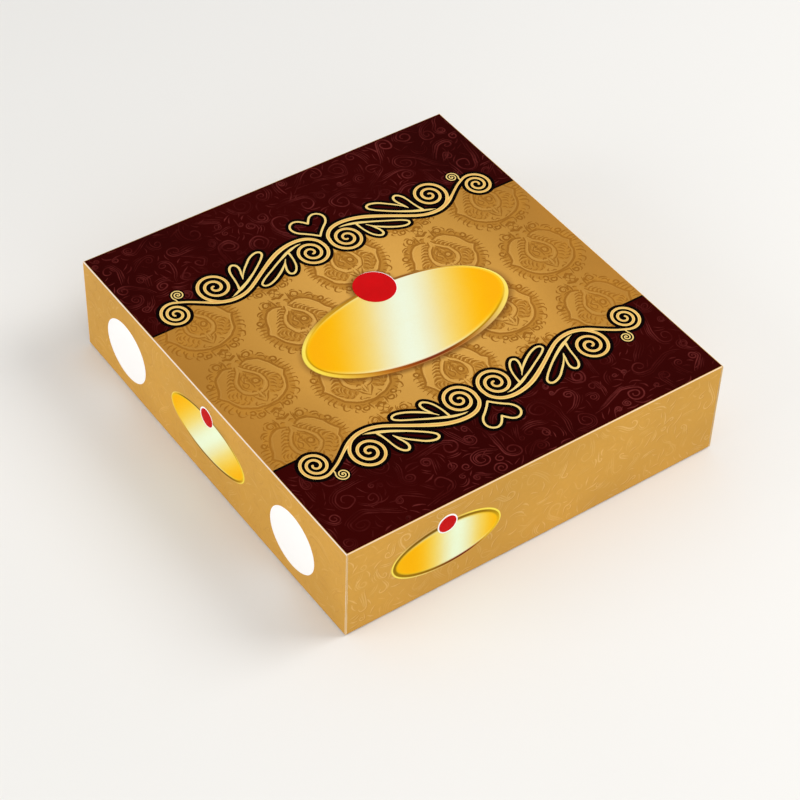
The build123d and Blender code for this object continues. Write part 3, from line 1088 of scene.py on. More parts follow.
    # teardrop: a light band between a thin and a thick dark line
    dash(mid, [(8, 86), (15, 71), (30, 56), (44, 38), (53, 16), (54, -7), (46, -28), (32, -42), (14, -49)], 4.2, False, 5)
    dash(light, [(3, 80), (10, 64), (23, 50), (36, 33), (45, 14), (46, -6), (39, -23), (26, -35), (10, -41)], 6.0, False, 5)
    both(fields, spline([(4, 58), (20, 46), (31, 29), (38, 11), (37, -7), (30, -20), (16, -29), (2, -33)], 5) + [(0.5, -33), (0.5, 58)], 0)
    dash(mid, [(6, 60), (18, 48), (29, 32), (37, 13), (37, -7), (29, -21)], 7.4, True, 5)
    mid.append((ring_of(18, 5, 11.5, -20, 320, 12), 6.2, False))
    mid.append((spline([(-5, 33), (-14, 27), (-19, 17), (-12, 9), (-10, 0), (-18, -8), (-27, -6)], 4), 6.2, True))
    mid.append((spline([(-27, 13), (-30, 2), (-26, -9), (-15, -19)], 4), 5.2, True))
    mid.append((spline([(6, -13), (14, -20), (25, -16)], 4), 5.0, True))
    light.append((ring_of(18, 5, 4.6, 0, 320, 8), 3.4, False))
    light.append((spline([(-9, 24), (-13, 17), (-7, 8), (-5, -1)], 4), 3.0, True))
    dash(mid, [(10, 44), (18, 36), (24, 25)], 4.6)
    dash(light, [(8, 36), (14, 30), (18, 22)], 3.0)
    mid.append((spline([(0, 52), (0, 30), (0, 8), (0, -18)], 6), 3.6, False))
    for v0 in (38, 24, 10):
        dash(mid, [(0.6, v0), (5, v0 + 8), (11, v0 + 10)], 4.4, True, 3)
    dash(mid, [(5, -35), (12, -29), (21, -35)], 7.4)
    # fleuron at the bottom
    dash(mid, [(27, -50), (21, -63), (11, -76), (0, -87)], 6.0)
    dash(mid, [(12, -52), (9, -63), (0, -73)], 4.6)
    dash(mid, [(5, -43), (7, -54), (4, -63)], 3.6)
    light.append((spline([(0, -42), (0, -56), (0, -70)], 5), 5.0, False))
    dash(light, [(20, -52), (15, -63), (6, -75)], 3.0)
    dash(mid, [(31, -77), (39, -84), (36, -91), (28, -89)], 5.0)
    return fields, dark, mid, light


def fleuron_link():
    """Small four-petalled link between two palmettes."""
    dark, light = [], []
    for sx in (-1, 1):
        for sy in (-1, 1):
            dark.append((spline([(2 * sx, 3 * sy), (9 * sx, 9 * sy), (17 * sx, 7 * sy), (19 * sx, 1.5 * sy)], 3), 4.4, True))
    dark.append(([(-3.0, 0), (0, 0), (3.0, 0)], 5.0, False))
    for s in (-1, 1):
        light.append(([(-4, 14 * s), (0, 11 * s), (4, 14 * s)], 2.4, False))
    return dark, light


def pinch(t):
    """A pen stroke's width: quick swell, then a long taper."""
    return 0.35 + 0.65 * math.sin(math.pi / 2 * min(1.0, t / 0.3)) if t < 0.3 else max(0.24, 1.0 - (t - 0.3) / 0.7 * 0.76)


def damask():
    fields, dark, mid, light = roundel()
    ldark, llight = fleuron_link()
    b = Build(top, lid_shape)
    centres = [(x, y) for x in (160, 750, 1343) for y in (466, 768, 1070)] + [(x, y) for x in (455, 1048) for y in (318, 618, 920, 1222)]
    links = [(x, y) for x in (160, 750, 1343) for y in (617, 919)] + [(x, y) for x in (455, 1048) for y in (468, 769, 1071)]
    lo, hi = unit(0, 1150)[1], unit(0, 390)[1]
    rx, ry = OVAL[2] - 4.0, OVAL[3] - 4.0

    def put(line, cx, cy):
        out = []
        for u, v in line:
            # drawn by hand: no stroke is quite where its mirror image would be
            q = Vector(((cx + u) / 17.0, (cy - v) / 17.0, 0.5))
            r = Vector(((cx + u) / 17.0, (cy - v) / 17.0, 9.5))
            out.append(unit(cx + u + 3.4 * noise.noise(q), cy - v + 3.4 * noise.noise(r)))
        return out

    def shown(pts):
        """Not wholly under a dark band or the large oval."""
        if not any(lo < y < hi for x, y in pts):
            return False
        return any(((x - OVAL[0]) / rx) ** 2 + ((y - OVAL[1]) / ry) ** 2 > 1.0 for x, y in pts)

    def draw(sets, cx, cy):
        for m, h, store in sets:
            for k, (line, w, t) in enumerate(store):
                pts = put(line, cx, cy)
                if not shown(pts):
                    continue
                if m == 0:
                    fill(b, pts, h + 0.0016 * k, -0.01, mat=0, grid=0)
                else:
                    stroke(b, thinned(pts, 0.26), w * {1: 1.2, 2: 1.0, 3: 1.2}[m] * SM, h=h + 0.0011 * (k % 7), foot=-0.01, taper=pinch if t else None, wedge=True, mat=m)

    for cx, cy in centres:
        draw(((0, 0.008, fields), (3, 0.0195, mid), (1, 0.0200, dark), (2, 0.0300, light)), cx, cy)
    for cx, cy in links:
        draw(((1, 0.0205, ldark), (2, 0.0305, llight)), cx, cy)
    b.make("lid_damask_print", [M_DAMASK_FILL, M_DAMASK_DARK, M_DAMASK_LIGHT, M_DAMASK_MID], "lid", smooth=None, flat_map=True)


damask()


# ---- filigree: tone-on-tone vine curls on the dark bands and the skirts -----
class Plot:
    """Where ink already lies, so that vines grow into the gaps and stop short of each other."""

    def __init__(self, gap):
        self.gap, self.cells = gap, {}

    def near(self, p, own):
        i, j = int(p[0] // self.gap), int(p[1] // self.gap)
        g2 = self.gap * self.gap
        for a in (i - 1, i, i + 1):
            for c in (j - 1, j, j + 1):
                for x, y, k in self.cells.get((a, c), ()):
                    if k != own and (x - p[0]) ** 2 + (y - p[1]) ** 2 < g2:
                        return True
        return False

    def ink(self, pts, own):
        for p in pts:
            self.cells.setdefault((int(p[0] // self.gap), int(p[1] // self.gap)), []).append((p[0], p[1], own))


def offset(pts, d0, d1=None):
    """A line beside another, its distance running from d0 to d1."""
    out = []
    n = len(pts)
    d1 = d0 if d1 is None else d1
    for i in range(n):
        a, c = pts[max(i - 1, 0)], pts[min(i + 1, n - 1)]
        dx, dy = c[0] - a[0], c[1] - a[1]
        ln = math.hypot(dx, dy) or 1.0
        d = d0 + (d1 - d0) * i / max(n - 1, 1)
        out.append((pts[i][0] - dy / ln * d, pts[i][1] + dx / ln * d))
    return out


def grow(plot, keep, p, heading, bend, length, own, step=0.55):
    """Walks a line whose curvature bend(t) gives, until it would meet other ink or leave its field."""
    out, s = [], 0.0
    while s < length:
        heading += bend(s / length) * step
        p = (p[0] + step * math.cos(heading), p[1] + step * math.sin(heading))
        if not keep(p) or plot.near(p, own):
            break
        out.append(p)
        s += step
    return out


def until(pts, ok):
    """The start of a line, up to where it is stopped."""
    out = []
    for q in pts:
        if not ok(q):
            break
        out.append(q)
    return out


def vines(rng, box, keep, gap, plan, arcs, reach=(6.0, 24.0), turn=(0.8, 1.6), pen=1.0):
    """Lines (points, width, taper, side) that fill a field with spirals, their long stems and nested arcs."""
    plot = Plot(gap)
    lines = []
    own = 0
    x0, x1, y0, y1 = box

    def free(q):
        return keep(q) and not plot.near(q, own)

    def nest(line, d, count, w):
        """Ever shorter companions beside a line, each on the outside of the last."""
        for k in range(1, count + 1):
            cut = int(len(line) * rng.uniform(0.06, 0.17) * k)
            beside = until(offset(line[cut:len(line) - cut // 2], d * k * 0.9, d * k * rng.uniform(0.55, 1.0)), free)
            if len(beside) < 8:
                return
            plot.ink(beside, own)
            lines.append((beside, w * (0.92 - 0.12 * k), pinch, 1))

    for tries, r_lo, r_hi, tail_lo, tail_hi in plan:
        for _ in range(tries):
            cx, cy = rng.uniform(x0, x1), rng.uniform(y0, y1)
            r = rng.uniform(r_lo, r_hi)
            a0, hand = rng.uniform(0, 2 * math.pi), rng.choice((-1, 1))
            turns = rng.uniform(*turn)
            if not keep((cx, cy)) or plot.near((cx, cy), -1):
                continue
            if not all(keep(q) and not plot.near(q, -1) for q in ring_of(cx, cy, r + 0.4, 0, 330, 8)):
                continue
            head = curl(cx, cy, r, a0, turns, r * rng.uniform(0.62, 0.86) / turns, hand, step=0.6)
            if any(plot.near(q, -1) or not keep(q) for q in head[::3]):
                continue
            own += 1
            length = rng.uniform(tail_lo, tail_hi)
            flip = rng.uniform(1.2, 2.4)
            heading = a0 - hand * math.pi / 2
            tail = grow(plot, keep, head[0], heading, lambda t: -hand * (1.0 - flip * t) / (r * (1.1 + 2.2 * t)), length, own)
            line = list(reversed(tail)) + head
            plot.ink(line, own)
            n = len(tail)
            lines.append((line, 0.50 + 0.035 * r, swelling((0.0, 0.3), (0.35, 1.0), (0.8, 1.0), (1.0, 0.6)), 0))
            side = hand * (1 if rng.random() < 0.7 else -1)
            if r > 2.2:
                part = line[:n + int(len(head) * rng.uniform(0.2, 0.5))]
                nest(list(reversed(part)), side * rng.uniform(1.05, 1.5), rng.choice((1, 1, 2)), 0.46)
            if n > 14:
                nest(line[int(n * 0.1):n], -side * rng.uniform(1.1, 1.7), rng.choice((1, 2, 3)), 0.5)
            for _ in range(rng.choice((0, 1, 2))):
                if n < 10:
                    break
                i = int(n * rng.uniform(0.1, 0.9))
                p, q = line[i], line[i + 1]
                h0 = math.atan2(q[1] - p[1], q[0] - p[0]) + rng.choice((-1, 1)) * rng.uniform(0.4, 0.9)
                k = rng.uniform(-0.22, 0.22)
                leaf = grow(plot, keep, p, h0, lambda t: k, rng.uniform(3.0, 9.0), own, 0.6)
                if len(leaf) > 4:
                    lines.append((leaf, rng.uniform(0.6, 0.85), pinch, 0))
                    plot.ink(leaf, own)
    for _ in range(arcs):
        p = (rng.uniform(x0, x1), rng.uniform(y0, y1))
        if not keep(p) or plot.near(p, -1):
            continue
        own += 1
        k = rng.choice((-1, 1)) * rng.uniform(0.05, 0.2)
        k2 = k * rng.uniform(0.3, 1.9)
        h0 = rng.uniform(0, 2 * math.pi)
        arc = grow(plot, keep, p, h0, lambda t: k * (1 - t) + k2 * t, rng.uniform(*reach), own)
        if len(arc) * 0.55 < reach[0] * 0.9:
            continue
        plot.ink(arc, own)
        lines.append((arc, rng.uniform(0.5, 0.78), pinch, 0))
        if len(arc) > 13:
            nest(arc, (1 if k > 0 else -1) * rng.choice((1, 1, -1)) * rng.uniform(1.1, 1.7), rng.choice((1, 2, 3)), 0.52)
    return [(loosened(pts, 1.1, 7.0), w * pen * rng.uniform(0.75, 1.25), taper, kind) for pts, w, taper, kind in lines]


def draw_vines(b, lines, keep, h, mat=0, faint=None, shade=None):
    """Lines of ink, each at its own height; shade is (shift, width, material) of a darker line beside each.

    faint is the ink of those fields where the pattern all but fades away.
    """
    for i, (pts, w, taper, kind) in enumerate(lines):
        up = h + 0.0013 * (i % 11)
        mid = pts[len(pts) // 2]
        weak = faint is not None and noise.noise(Vector((mid[0] / 13.0, mid[1] / 13.0, 3.0))) < 0.0
        for run in clipped(pts, keep):
            stroke(b, thinned(run, 0.2), w, h=up, foot=h - 0.03, taper=taper, wedge=True, mat=faint if weak else mat)
            if shade is not None and kind == 0 and not weak:
                d, w2, m2 = shade
                beside = until([(x + d[0], y + d[1]) for x, y in run], keep)
                if len(beside) > 2:
                    stroke(b, thinned(beside, 0.2), w2, h=up - 0.0007, foot=h - 0.03, taper=taper, wedge=True, mat=m2)


def filigrees():
    b = Build(top, lid_shape)
    for fs, seed in ((False, 11), (True, 24)):
        loop = band_loop(fs)
        lim_x, lim_y = HX - 0.9, HY - 0.9
        y0, y1 = (-HY, unit(0, FLIP - 425)[1] + 1.0) if fs else (unit(0, 425)[1] - 1.0, HY)

        def keep(p, loop=loop):
            return abs(p[0]) < lim_x and abs(p[1]) < lim_y and inside(p, loop)

        lines = vines(random.Random(seed), (-HX, HX, y0, y1), keep, 1.2, ((70, 3.8, 5.8, 16, 34), (330, 2.1, 3.5, 9, 26), (280, 1.3, 2.0, 5, 14)), 3000, (3.8, 15.0), (0.8, 1.8), 1.55)
        draw_vines(b, lines, keep, 0.056)
    b.make("lid_band_filigree", [M_MAROON_LINE], "lid", smooth=None, flat_map=True)
    whole = Build(None, lid_shape)
    for k, (side, seed) in enumerate((("front", 5), ("back", 7), ("left", 13), ("right", 17))):
        place, reach = SIDES[side]
        b = Build(place)
        lim = reach - 0.9

        def keep(p, lim=lim):
            return abs(p[0]) < lim and FOOT + 1.3 < p[1] < HZ - 1.2

        lines = vines(random.Random(seed), (-reach, reach, FOOT, HZ), keep, 1.5, ((24, 2.8, 4.6, 9, 20), (60, 1.7, 2.9, 5, 14), (20, 1.2, 1.6, 3, 8)), 1500, (4.0, 10.0), (0.4, 1.0), 1.85)
        if side in ("front", "back"):
            draw_vines(b, lines, keep, 0.014, 0, 2, ((0.50, -0.55), 0.8, 1))
        else:
            draw_vines(b, lines, keep, 0.014, 2, 3)
        whole.absorb(b, (0.0, 58.0 * k))
    whole.make("lid_skirt_filigree", [M_SIDE_LIGHT, M_SIDE_DARK, M_SIDE_FAINT, M_SIDE_FAINT_DARK], "lid", smooth=None, flat_map=True)


filigrees()


# ---- ovals, seals and spots --------------------------------------------------
def foil_print(name, rough, coat, bump=0.12, spec=0.12):
    """Printed foil; its colours, painted highlight, shade and reflection among them, are stored on the mesh, with
    specks, drifts and orange peel over them.
    """
    m = Mat(name, coat=coat, coat_rough=0.2, spec=spec)
    n = m.t.nodes.new("ShaderNodeAttribute")
    n.attribute_name = "tint"
    c = n.outputs["Color"]
    c = m.mix(m.remap(m.noise(900.0, 3.0, 0.6), 0.45, 0.75, 0.0, 0.10), c, m.mix(1.0, c, srgb(242, 226, 190), "MULTIPLY"))
    c = m.mix(m.remap(m.noise(60.0, 3.0, 0.6), 0.4, 0.75, 0.0, 0.12), c, m.mix(1.0, c, srgb(250, 232, 196), "MULTIPLY"))
    m.set("Base Color", c)
    peel = m.noise(1100.0, 3.0, 0.5)
    m.set("Roughness", m.math("ADD", m.remap(peel, 0.3, 0.7, rough - 0.05, rough + 0.06), m.remap(m.noise(55.0, 4.0, 0.6), 0.5, 0.75, 0.0, 0.08)))
    m.set("Normal", m.bump(peel, bump, 0.00005))
    return m.m


M_OVAL = foil_print("oval_foil", 0.40, 0.02, spec=0.05)
M_OVAL_SIDE = foil_print("skirt_oval_foil", 0.46, 0.0, spec=0.02)


def seal_red():
    m = Mat("seal_red_ink", coat=0.02, coat_rough=0.25, spec=0.03)
    c = m.mix(m.remap(m.noise(90.0, 3.0, 0.6), 0.3, 0.7), srgb(205, 8, 14), srgb(192, 8, 12))
    c = m.mix(m.remap(m.noise(1800.0, 3.0, 0.6), 0.55, 0.8, 0.0, 0.25), c, srgb(214, 18, 22))
    m.set("Base Color", c)
    peel = m.noise(1300.0, 3.0, 0.5)
    m.set("Roughness", m.remap(peel, 0.3, 0.7, 0.36, 0.46))
    m.set("Normal", m.bump(peel, 0.15, 0.00005))
    return m.m


M_RED = seal_red()


def by_angle(table, deg):
    """The value at an angle, from a table of (degrees, value) round a full turn."""
    deg %= 360.0
    for (a0, c0), (a1, c1) in zip(table, table[1:]):
        if a0 <= deg <= a1:
            t = (deg - a0) / (a1 - a0)
            if isinstance(c0, tuple):
                return tuple(p + (q - p) * t for p, q in zip(c0, c1))
            return c0 + (c1 - c0) * t
    return table[-1][1]


def blend(c, d, t):
    return tuple(p + (q - p) * t for p, q in zip(c, d))


# the plate's pale middle band and its orange ends are a painted reflection across the foil
PLATE_REFLECTION = [(0.0, (242, 250, 220)), (0.045, (242, 248, 214)), (0.085, (242, 240, 196)), (0.13, (243, 232, 172)), (0.18, (246, 221, 132)), (0.23, (248, 211, 98)), (0.28, (250, 202, 68)), (0.33, (253, 193, 38)), (0.38, (255, 187, 18)), (0.43, (255, 182, 6)), (0.5, (255, 181, 4)), (0.7, (255, 186, 8))]


def dimmed(c):
    """A printed colour as the foil's own, less what the studio light adds to it."""
    r, g, b, _ = srgb(*c)
    return (max(0.0, r - 0.008) * 0.905, max(0.0, g - 0.008) * 0.905, max(0.0, b - 0.008) * 0.96, 1.0)


def plate_reflection_tone(s):
    """The plate's colour at a distance s from its pale middle band, a painted reflection on the foil, in widths of the
    oval.
    """
    s = abs(s)
    for (a0, c0), (a1, c1) in zip(PLATE_REFLECTION, PLATE_REFLECTION[1:]):
        if s <= a1:
            return blend(c0, c1, (s - a0) / (a1 - a0))
    return PLATE_REFLECTION[-1][1]


# colours round the large oval, anticlockwise from its right end: bead, groove, lit edge of the plate, bead width; the
# bead and groove carry painted highlight where light would catch the oval's ends and painted shade, dark brown, along
# its lower and upper sides, and the lit edge is a painted highlight
TOP_BEAD = [(0, (255, 228, 100)), (20, (255, 234, 112)), (45, (255, 236, 110)), (62, (244, 208, 92)), (78, (196, 146, 62)), (93, (146, 94, 38)), (110, (134, 80, 32)), (125, (166, 112, 40)), (140, (192, 146, 46)), (152, (206, 160, 56)), (165, (246, 208, 82)), (180, (255, 234, 100)), (200, (255, 232, 86)), (220, (255, 226, 78)), (235, (246, 206, 66)), (250, (222, 168, 56)), (262, (196, 126, 40)), (275, (160, 78, 22)), (287, (126, 46, 12)), (298, (136, 60, 16)), (308, (170, 104, 36)), (318, (194, 142, 66)), (328, (216, 172, 96)), (338, (238, 204, 100)), (348, (250, 222, 100)), (360, (255, 228, 100))]
TOP_GROOVE = [(0, (238, 192, 50)), (20, (255, 200, 30)), (60, (252, 204, 50)), (80, (214, 160, 60)), (93, (150, 95, 30)), (120, (178, 124, 30)), (150, (214, 164, 30)), (170, (244, 196, 50)), (190, (214, 168, 24)), (210, (200, 150, 14)), (235, (196, 146, 14)), (255, (200, 138, 30)), (270, (170, 90, 24)), (290, (128, 52, 12)), (305, (150, 90, 10)), (320, (176, 128, 8)), (335, (190, 140, 8)), (348, (214, 164, 20)), (360, (238, 192, 50))]
TOP_LIT = [(0, (255, 190, 20)), (30, (255, 208, 50)), (60, (255, 226, 110)), (80, (254, 248, 200)), (100, (253, 252, 220)), (130, (255, 238, 150)), (150, (252, 214, 90)), (170, (254, 196, 30)), (215, (255, 190, 20)), (235, (255, 222, 100)), (255, (255, 244, 184)), (270, (255, 252, 220)), (300, (255, 252, 214)), (318, (255, 238, 140)), (335, (255, 212, 60)), (350, (255, 192, 20)), (360, (255, 190, 20))]
TOP_WIDE = [(0, 3.0), (20, 2.2), (45, 1.3), (70, 0.85), (90, 1.3), (115, 1.9), (135, 2.3), (155, 2.2), (180, 2.6), (200, 2.9), (240, 3.0), (270, 2.6), (290, 2.3), (310, 2.4), (330, 3.0), (345, 3.3), (360, 3.0)]
GROUND = (206, 156, 82)
# the same four tables for the ovals on the front and back skirts: painted highlight at the bead's two ends, painted
# shade in the groove, darkest at its lower side
FRONT_BEAD = [(0, (255, 224, 84)), (30, (255, 228, 84)), (60, (252, 220, 80)), (80, (226, 184, 90)), (96, GROUND), (128, GROUND), (150, (240, 200, 100)), (170, (255, 224, 90)), (215, (255, 228, 100)), (245, (240, 204, 110)), (268, (214, 168, 92)), (285, GROUND), (320, GROUND), (340, (226, 180, 76)), (360, (255, 224, 84))]
FRONT_GROOVE = [(0, (226, 172, 20)), (20, (190, 146, 16)), (45, (160, 116, 12)), (75, (142, 102, 14)), (88, (136, 94, 10)), (105, (126, 86, 10)), (122, (126, 86, 10)), (140, (142, 104, 10)), (180, (150, 112, 12)), (220, (158, 118, 12)), (255, (148, 102, 10)), (270, (126, 70, 12)), (285, (112, 34, 14)), (296, (120, 46, 14)), (306, (166, 104, 24)), (318, (220, 168, 40)), (335, (240, 190, 36)), (350, (236, 182, 24)), (360, (226, 172, 20))]
FRONT_LIT = [(0, (255, 190, 20)), (60, (253, 204, 50)), (85, (250, 240, 180)), (120, (252, 244, 190)), (150, (250, 200, 60)), (180, (250, 188, 16)), (235, (252, 200, 50)), (262, (254, 236, 150)), (285, (255, 252, 220)), (315, (255, 246, 190)), (335, (255, 200, 40)), (360, (255, 190, 20))]
FRONT_WIDE = [(0, 2.1), (30, 2.3), (60, 2.4), (80, 2.6), (100, 2.9), (120, 2.9), (150, 2.6), (180, 2.5), (220, 2.4), (260, 2.2), (290, 2.0), (320, 1.7), (340, 1.8), (360, 2.1)]
# and for the ovals on the left and right skirts: painted highlight at the bead's ends, painted shade in the groove
# along its upper and lower sides
LEFT_BEAD = [(0, (252, 224, 86)), (25, (248, 214, 84)), (45, (222, 178, 84)), (60, GROUND), (120, GROUND), (140, (226, 184, 80)), (160, (248, 214, 108)), (195, (246, 208, 106)), (220, (222, 176, 92)), (240, GROUND), (312, GROUND), (330, (236, 196, 84)), (345, (252, 222, 84)), (360, (252, 224, 86))]
LEFT_GROOVE = [(0, (250, 200, 30)), (25, (236, 188, 40)), (45, (176, 134, 30)), (62, (138, 98, 14)), (80, (128, 90, 12)), (105, (116, 78, 6)), (128, (122, 84, 6)), (146, (206, 160, 20)), (160, (240, 190, 20)), (195, (246, 194, 30)), (225, (222, 172, 60)), (245, (160, 112, 40)), (262, (122, 82, 16)), (290, (118, 80, 14)), (310, (138, 94, 8)), (328, (176, 126, 10)), (345, (220, 168, 20)), (360, (250, 200, 30))]
LEFT_LIT = [(0, (255, 190, 20)), (50, (252, 214, 90)), (80, (252, 250, 220)), (110, (250, 226, 120)), (135, (250, 206, 40)), (180, (250, 190, 16)), (225, (250, 206, 60)), (250, (254, 246, 190)), (290, (255, 250, 216)), (312, (252, 224, 110)), (335, (254, 196, 30)), (360, (255, 190, 20))]
LEFT_WIDE = [(0, 1.7), (30, 1.4), (60, 1.1), (100, 1.5), (130, 1.5), (160, 1.3), (200, 1.2), (240, 1.2), (280, 1.5), (310, 1.8), (340, 1.8), (360, 1.7)]


def oval(name, place, cx, cy, a, b, tables, slope, shift, relief, n=180, turn=0.0, split=0.69, stretch=1.0, gain=None, dark=0.0):
    """A raised oval: bead, narrow groove and a slightly domed plate; its colours follow the angle round it, as painted
    highlight and painted shade on the bead and groove and a painted reflection across the plate.

    split is where the bead gives way to the groove; turn moves the tables round; gain dims the colours;
    dark widens the groove's tone over its flanks.
    """
    bead, groove, painted_light, wide = tables
    bd = Build(place, lid_shape)
    # the section from the outside in: a darker outer edge as painted shade, a paler band as painted highlight, the
    # bead, its turn into the groove, the groove, its rise, the plate's lit edge as painted highlight, the fade into the
    # plate and the plate
    sect = [(0.0, -0.01, "edge"), (0.02, 0.10, "edge"), (0.12, 0.25, "pale"), (0.35, 0.345, "bead"), (0.60, 0.325, "bead"), (0.69, 0.26, "turn"), (0.79, 0.165, "groove"), (0.90, 0.15, "groove"), (1.0, 0.19, "rise"), (1.13, 0.215, "painted_light"), (1.4, 0.225, "fade"), (1.75, 0.232, "plate")]
    rings = []

    def tone(ex, ey):
        return plate_reflection_tone(0.5 * (ex - shift + slope * ey) / (a * 0.98 * stretch))

    def tint(c):
        if gain is None:
            return dimmed(c)
        r, g, b, _ = srgb(*c)
        return (r * gain[0], g * gain[1], b * gain[2], 1.0)

    def outer(c):
        """A bead painted dark as shade is browner and softer along its outer side, its painted shade fading into the
        ground.
        """
        return blend(c, (184, 130, 62), 0.7 * max(0.0, min(1.0, (330.0 - sum(c)) / 140.0)))

    for f, h, what in sect:
        ring = []
        if f <= 0.69:
            f = f * split / 0.69
        elif f < 1.0:
            f = split + (f - 0.69) * (1.0 - split) / 0.31
        for i in range(n):
            t = 2 * math.pi * i / n
            ex, ey = a * math.cos(t), b * math.sin(t)
            deg = math.degrees(t) + turn
            nx, ny = math.cos(t) / a, math.sin(t) / b
            ln = math.hypot(nx, ny)
            inset = f * by_angle(wide, deg)
            ex, ey = ex - nx / ln * inset, ey - ny / ln * inset
            r, g, li, p = by_angle(bead, deg), by_angle(groove, deg), by_angle(painted_light, deg), tone(ex, ey)
            c = {"edge": blend(outer(r), (90, 50, 10), 0.22), "pale": blend(outer(r), (255, 246, 190), 0.12), "bead": r, "turn": blend(r, g, 0.35 + 0.55 * dark), "groove": g,
                 "rise": blend(g, li, 0.65 - 0.45 * dark), "painted_light": blend(blend(li, g, 0.30 * dark), p, 0.15), "fade": blend(li, p, 0.75), "plate": p}[what]
            ring.append(bd.vert((cx + ex, cy + ey, h * relief if h > 0 else h), tint=tint(c)))
        rings.append(ring)
    outer = [bd.v[i] for i in rings[-1]]
    for f, h in ((0.97, 0.236), (0.92, 0.244), (0.84, 0.254), (0.74, 0.266), (0.62, 0.279), (0.5, 0.289), (0.38, 0.297), (0.26, 0.302), (0.14, 0.306), (0.05, 0.307)):
        ring = []
        for x, y, z in outer:
            ex, ey = (x - cx) * f, (y - cy) * f
            ring.append(bd.vert((cx + ex, cy + ey, h * relief), tint=tint(tone(ex, ey))))
        rings.append(ring)
    for r0, r1 in zip(rings, rings[1:]):
        for i in range(n):
            j = (i + 1) % n
            bd.face((r0[i], r0[j], r1[j], r1[i]), 0)
    bd.face(rings[-1], 0)
    bd.face(list(reversed(rings[0])), 0)
    return bd.make(name, [M_OVAL if gain is None else M_OVAL_SIDE], "lid", smooth=50.0, flat_map=True)


def spot(name, place, cx, cy, rx, ry, h, dome, mats, ring=0.0, off=(0.0, 0.0), n=96):
    """A round printed spot with a soft edge, domed a little; ring adds a pale border outside it, shifted by off."""
    bd = Build(place, lid_shape)
    rows = []
    prof = []
    ox, oy = off
    if ring:
        prof += [(rx + ring, ry + ring, -0.01, 1, 1.0), (rx + ring - 0.04, ry + ring - 0.04, h * 0.8, 1, 1.0), (rx + 0.06, ry + 0.06, h * 0.92, 1, 0.0), (rx, ry, h, 0, 0.0)]
    else:
        prof += [(rx, ry, -0.01, 0, 0.0), (rx - 0.04, ry - 0.04, h, 0, 0.0)]
    for f in (0.97, 0.9, 0.75, 0.55, 0.35, 0.15):
        prof.append((rx * f, ry * f, h + dome * (1 - f * f), 0, 0.0))
    for ax, ay, z, m, k in prof:
        rows.append(([bd.vert((cx + k * ox + ax * math.cos(2 * math.pi * i / n), cy + k * oy + ay * math.sin(2 * math.pi * i / n), z)) for i in range(n)], m))
    for (r0, m0), (r1, m1) in zip(rows, rows[1:]):
        for i in range(n):
            j = (i + 1) % n
            bd.face((r0[i], r0[j], r1[j], r1[i]), m1)
    bd.face(rows[-1][0], 0)
    bd.face(list(reversed(rows[0][0])), rows[0][1])
    return bd.make(name, mats, "lid", smooth=50.0, flat_map=True)


oval("lid_top_oval", top, OVAL[0], OVAL[1], OVAL[2], OVAL[3], (TOP_BEAD, TOP_GROOVE, TOP_LIT, TOP_WIDE), -0.525, 0.0, 1.0, turn=23.0, dark=0.3)
spot("lid_top_seal", top, SEAL[0], SEAL[1], SEAL[2] - 0.4, SEAL[2], 0.40, 0.16, [M_RED, M_WHITE], ring=0.12, off=(0.32, 0.10))
for side in ("front", "back"):
    place = SIDES[side][0]
    oval("lid_%s_oval" % side, place, -52.7, 29.15, 30.5, 15.1, (FRONT_BEAD, FRONT_GROOVE, FRONT_LIT, FRONT_WIDE), 0.0, 6.0, 0.5, n=132, split=0.42, stretch=0.92, gain=(0.965, 1.025, 1.0), dark=1.0)
    spot("lid_%s_seal" % side, place, -52.8, 42.3, 4.75, 4.75, 0.24, 0.08, [M_RED, M_WHITE], ring=0.78, n=64)
for side in ("left", "right"):
    place = SIDES[side][0]
    oval("lid_%s_oval" % side, place, -0.3, 30.0, 32.4, 14.4, (LEFT_BEAD, LEFT_GROOVE, LEFT_LIT, LEFT_WIDE), -0.78, 1.0, 0.45, n=132, split=0.45, stretch=1.12, gain=(0.965, 1.02, 1.0), dark=0.8)
    spot("lid_%s_seal" % side, place, -0.2, 43.0, 4.9, 4.9, 0.22, 0.08, [M_RED, M_WHITE], ring=0.62, off=(-0.3, 0.0), n=64)
    spot("lid_%s_spot_a" % side, place, -75.4, 25.85, 18.1, 16.9, 0.04, 0.0, [M_WHITE, M_WHITE])
    spot("lid_%s_spot_b" % side, place, 71.8, 24.75, 18.1, 16.9, 0.04, 0.0, [M_WHITE, M_WHITE])


# ---------------------------------------------------------------------------
# inside: lid lining, base tray, foil lining, dividers
# ---------------------------------------------------------------------------
def base_shape(p):
    """The tray's walls lean out a little between their corners, and its floor lies flat."""
    x, y, z = p
    if z < 1.5:
        return p
    fx = max(0.0, 1.0 - (x / BX) ** 2)
    fy = max(0.0, 1.0 - (y / BY) ** 2)
    t = min(1.0, max(0.0, (z - 1.5) / 50.0)) ** 1.5
    dx = dy = 0.0
    if abs(x) > BX - 2.5:
        dx = (1 if x > 0 else -1) * t * (0.22 * fy + 0.05 * fy * math.sin(y / 21.0))
    if abs(y) > BY - 2.5:
        dy = (1 if y > 0 else -1) * t * (0.20 * fx + 0.05 * fx * math.sin(x / 24.0 + 1.0))
    return (x + dx, y + dy, z)


def tray_side(side):
    """Placement on one side of the base tray: a along it, z up, d inwards from its outer face."""
    sign = {"front": 1, "back": -1, "left": -1, "right": 1}[side]
    if side in ("front", "back"):
        return (lambda a, z, h: (sign * a, -sign * (BY + h), z)), BX
    return (lambda a, z, h: (sign * (BX + h), sign * a, z)), BY


